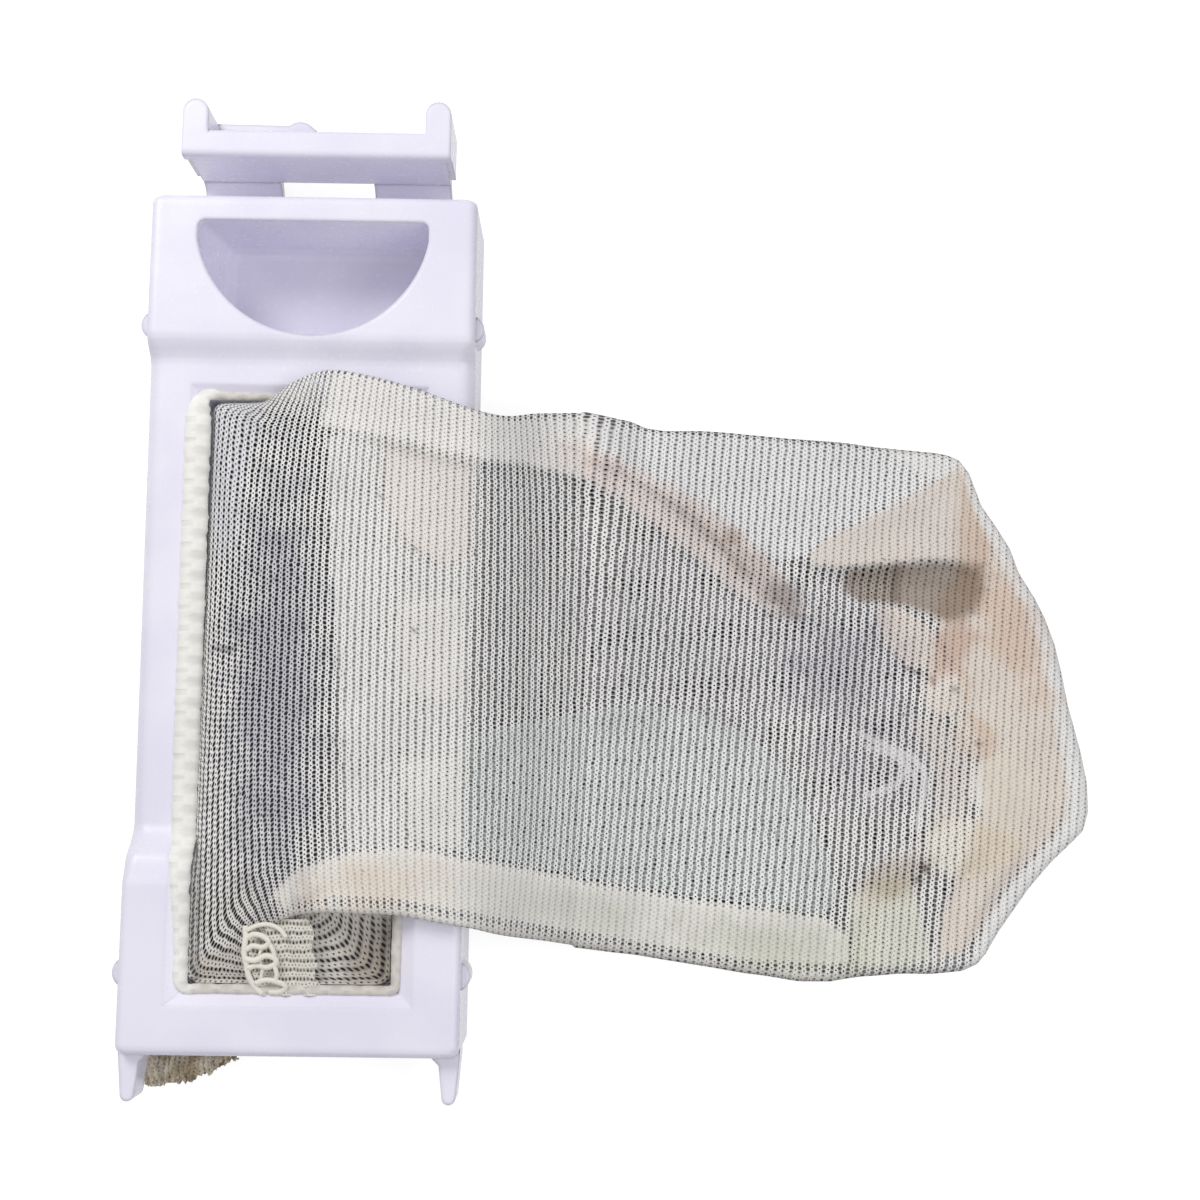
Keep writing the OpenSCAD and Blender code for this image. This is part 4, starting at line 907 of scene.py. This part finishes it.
class LINTFILTER_OT_plastics(bpy.types.Operator):
    """Gives the case, the latch and the clamp frame their moulded finish"""
    bl_idname = "lint_filter.plastics"
    bl_label = "Moulded plastics"

    def execute(self, context):
        chosen = settings()
        white = moulded_polypropylene("moulded_polypropylene_white", chosen.case_colour, chosen.case_shade, chosen.case_gloss)
        plain = moulded_polypropylene("moulded_polypropylene_plain", linear("#E6E4EE"), linear("#DCD9E8"), 0.5)
        set_material(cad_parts["front_case"], white)
        set_material(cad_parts["latch_lever"], white)
        set_material(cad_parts["net_clamp_frame"], plain)
        return {"FINISHED"}


class LINTFILTER_OT_cloth(bpy.types.Operator):
    """Makes the knitted net bag, its frayed edge, its seams and the loose thread ends"""
    bl_idname = "lint_filter.cloth"
    bl_label = "Net, seams and threads"

    def execute(self, context):
        chosen = settings()
        knit = knitted_net(chosen.net_colour, chosen.wale_spacing, chosen.course_spacing)
        yarn = sewing_yarn(chosen.yarn_colour)
        net, net_height = build_net(knit)
        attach(net, BODY)
        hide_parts("net_bag")
        fray = build_fray(knit)
        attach(fray, BODY)
        for piece, node in ((build_side_seam(yarn), "side_seam"), (build_end_seam(yarn, net_height), "end_seam"),
                            (build_tails(yarn, net_height), "thread_tails")):
            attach(piece, BODY)
            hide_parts(node)
        return {"FINISHED"}


def area_light(name, place, target, size, power, colour):
    data = bpy.data.lights.new(name, "AREA")
    data.shape = "DISK"
    data.size = size
    data.energy = power
    data.color = colour
    lamp = bpy.data.objects.new(name, data)
    lamp.location = place
    lamp.rotation_euler = (Vector(target) - Vector(place)).to_track_quat("-Z", "Y").to_euler()
    bpy.context.scene.collection.objects.link(lamp)
    return lamp


class LINTFILTER_OT_stage(bpy.types.Operator):
    """Makes the floor, the soft lights and the camera"""
    bl_idname = "lint_filter.stage"
    bl_label = "Stage, lights and camera"

    def execute(self, context):
        scene = context.scene
        chosen = settings()
        scene.view_settings.view_transform = "Standard"
        size = chosen.floor_size / 2 / MM
        material, tree, shader, output = new_material("studio_floor")
        shader.inputs["Base Color"].default_value = linear("#68666F")
        shader.inputs["Roughness"].default_value = 0.9
        # The floor is white to the camera, and keeps its own grey in the gaps of the net
        path = add_node(tree, "ShaderNodeLightPath")
        direct = maths(tree, "LESS_THAN", path.outputs["Transparent Depth"], 0.5)
        seen = maths(tree, "MULTIPLY", path.outputs["Is Camera Ray"], direct)
        seen = maths(tree, "MAXIMUM", seen, path.outputs["Is Glossy Ray"])
        seen = maths(tree, "MAXIMUM", seen, path.outputs["Is Transmission Ray"])
        glow = add_node(tree, "ShaderNodeEmission", {"Color": (1, 1, 1, 1), "Strength": 0.80})
        matt = add_node(tree, "ShaderNodeBsdfDiffuse", {"Color": (0.42, 0.42, 0.42, 1)})
        white = add_node(tree, "ShaderNodeAddShader", {0: glow.outputs[0], 1: matt.outputs[0]})
        both = add_node(tree, "ShaderNodeMixShader", {0: seen, 1: shader.outputs[0], 2: white.outputs[0]})
        tree.links.new(both.outputs[0], output.inputs["Surface"])
        corners = [(-size, -size, -0.05), (size, -size, -0.05), (size, size, -0.05), (-size, size, -0.05)]
        mesh_object("studio_floor", corners, [(0, 1, 2, 3)], material, smooth=False)

        world = bpy.data.worlds.new("studio_world")
        world.use_nodes = True
        nodes = world.node_tree
        nodes.nodes.clear()
        rays = add_node(nodes, "ShaderNodeLightPath")
        level = add_node(nodes, "ShaderNodeMix", {0: rays.outputs["Is Camera Ray"], 2: chosen.world_level, 3: 1.0},
                         data_type="FLOAT")
        room = add_node(nodes, "ShaderNodeBackground", {"Color": (1, 1, 1, 1), "Strength": level.outputs[0]})
        add_node(nodes, "ShaderNodeOutputWorld", {"Surface": room.outputs[0]})
        scene.world = world

        area_light("key_light", (-0.26, 0.33, 0.41), (0.02, 0.02, 0.01), 0.26, chosen.key_power, (1.0, 0.99, 0.98))
        area_light("fill_light", (0.40, -0.08, 0.42), (0.04, 0.0, 0.01), 0.34, chosen.fill_power, (0.96, 0.97, 1.0))

        # The photograph's viewpoint, 0.31 m above the filter, with its right, up and back directions
        data = bpy.data.cameras.new("view")
        data.lens = 51.0
        data.sensor_width = 36.0
        data.clip_start = 0.01
        camera = bpy.data.objects.new("view", data)
        right, up, back = Vector((0.99988, 0.01329, 0.0085)), Vector((-0.01418, 0.99318, 0.11575)), Vector((-0.00691, -0.11585, 0.99324))
        turn = Matrix((right, up, back)).transposed().to_4x4()
        camera.matrix_world = Matrix.Translation(Vector((49.71, -31.01, 312.51)) * MM) @ turn
        scene.collection.objects.link(camera)
        scene.camera = camera
        return {"FINISHED"}


class LINTFILTER_PT_panel(bpy.types.Panel):
    """Lists the operators and the settings"""
    bl_idname = "LINTFILTER_PT_panel"
    bl_label = "Lint filter"
    bl_space_type = "VIEW_3D"
    bl_region_type = "UI"
    bl_category = "Lint filter"

    def draw(self, context):
        for operator in OPERATORS:
            self.layout.operator(operator.bl_idname)
        for name in LintFilterSettings.__annotations__:
            self.layout.prop(context.scene.lint_filter, name)


OPERATORS = (LINTFILTER_OT_plastics, LINTFILTER_OT_cloth, LINTFILTER_OT_stage)
CLASSES = (LintFilterSettings,) + OPERATORS + (LINTFILTER_PT_panel,)


def register():
    for cls in CLASSES:
        bpy.utils.register_class(cls)
    bpy.types.Scene.lint_filter = bpy.props.PointerProperty(type=LintFilterSettings)


def unregister():
    del bpy.types.Scene.lint_filter
    for cls in reversed(CLASSES):
        bpy.utils.unregister_class(cls)


def main():
    register()
    bpy.ops.lint_filter.plastics()
    bpy.ops.lint_filter.cloth()
    bpy.ops.lint_filter.stage()


if __name__ == "__main__":
    main()
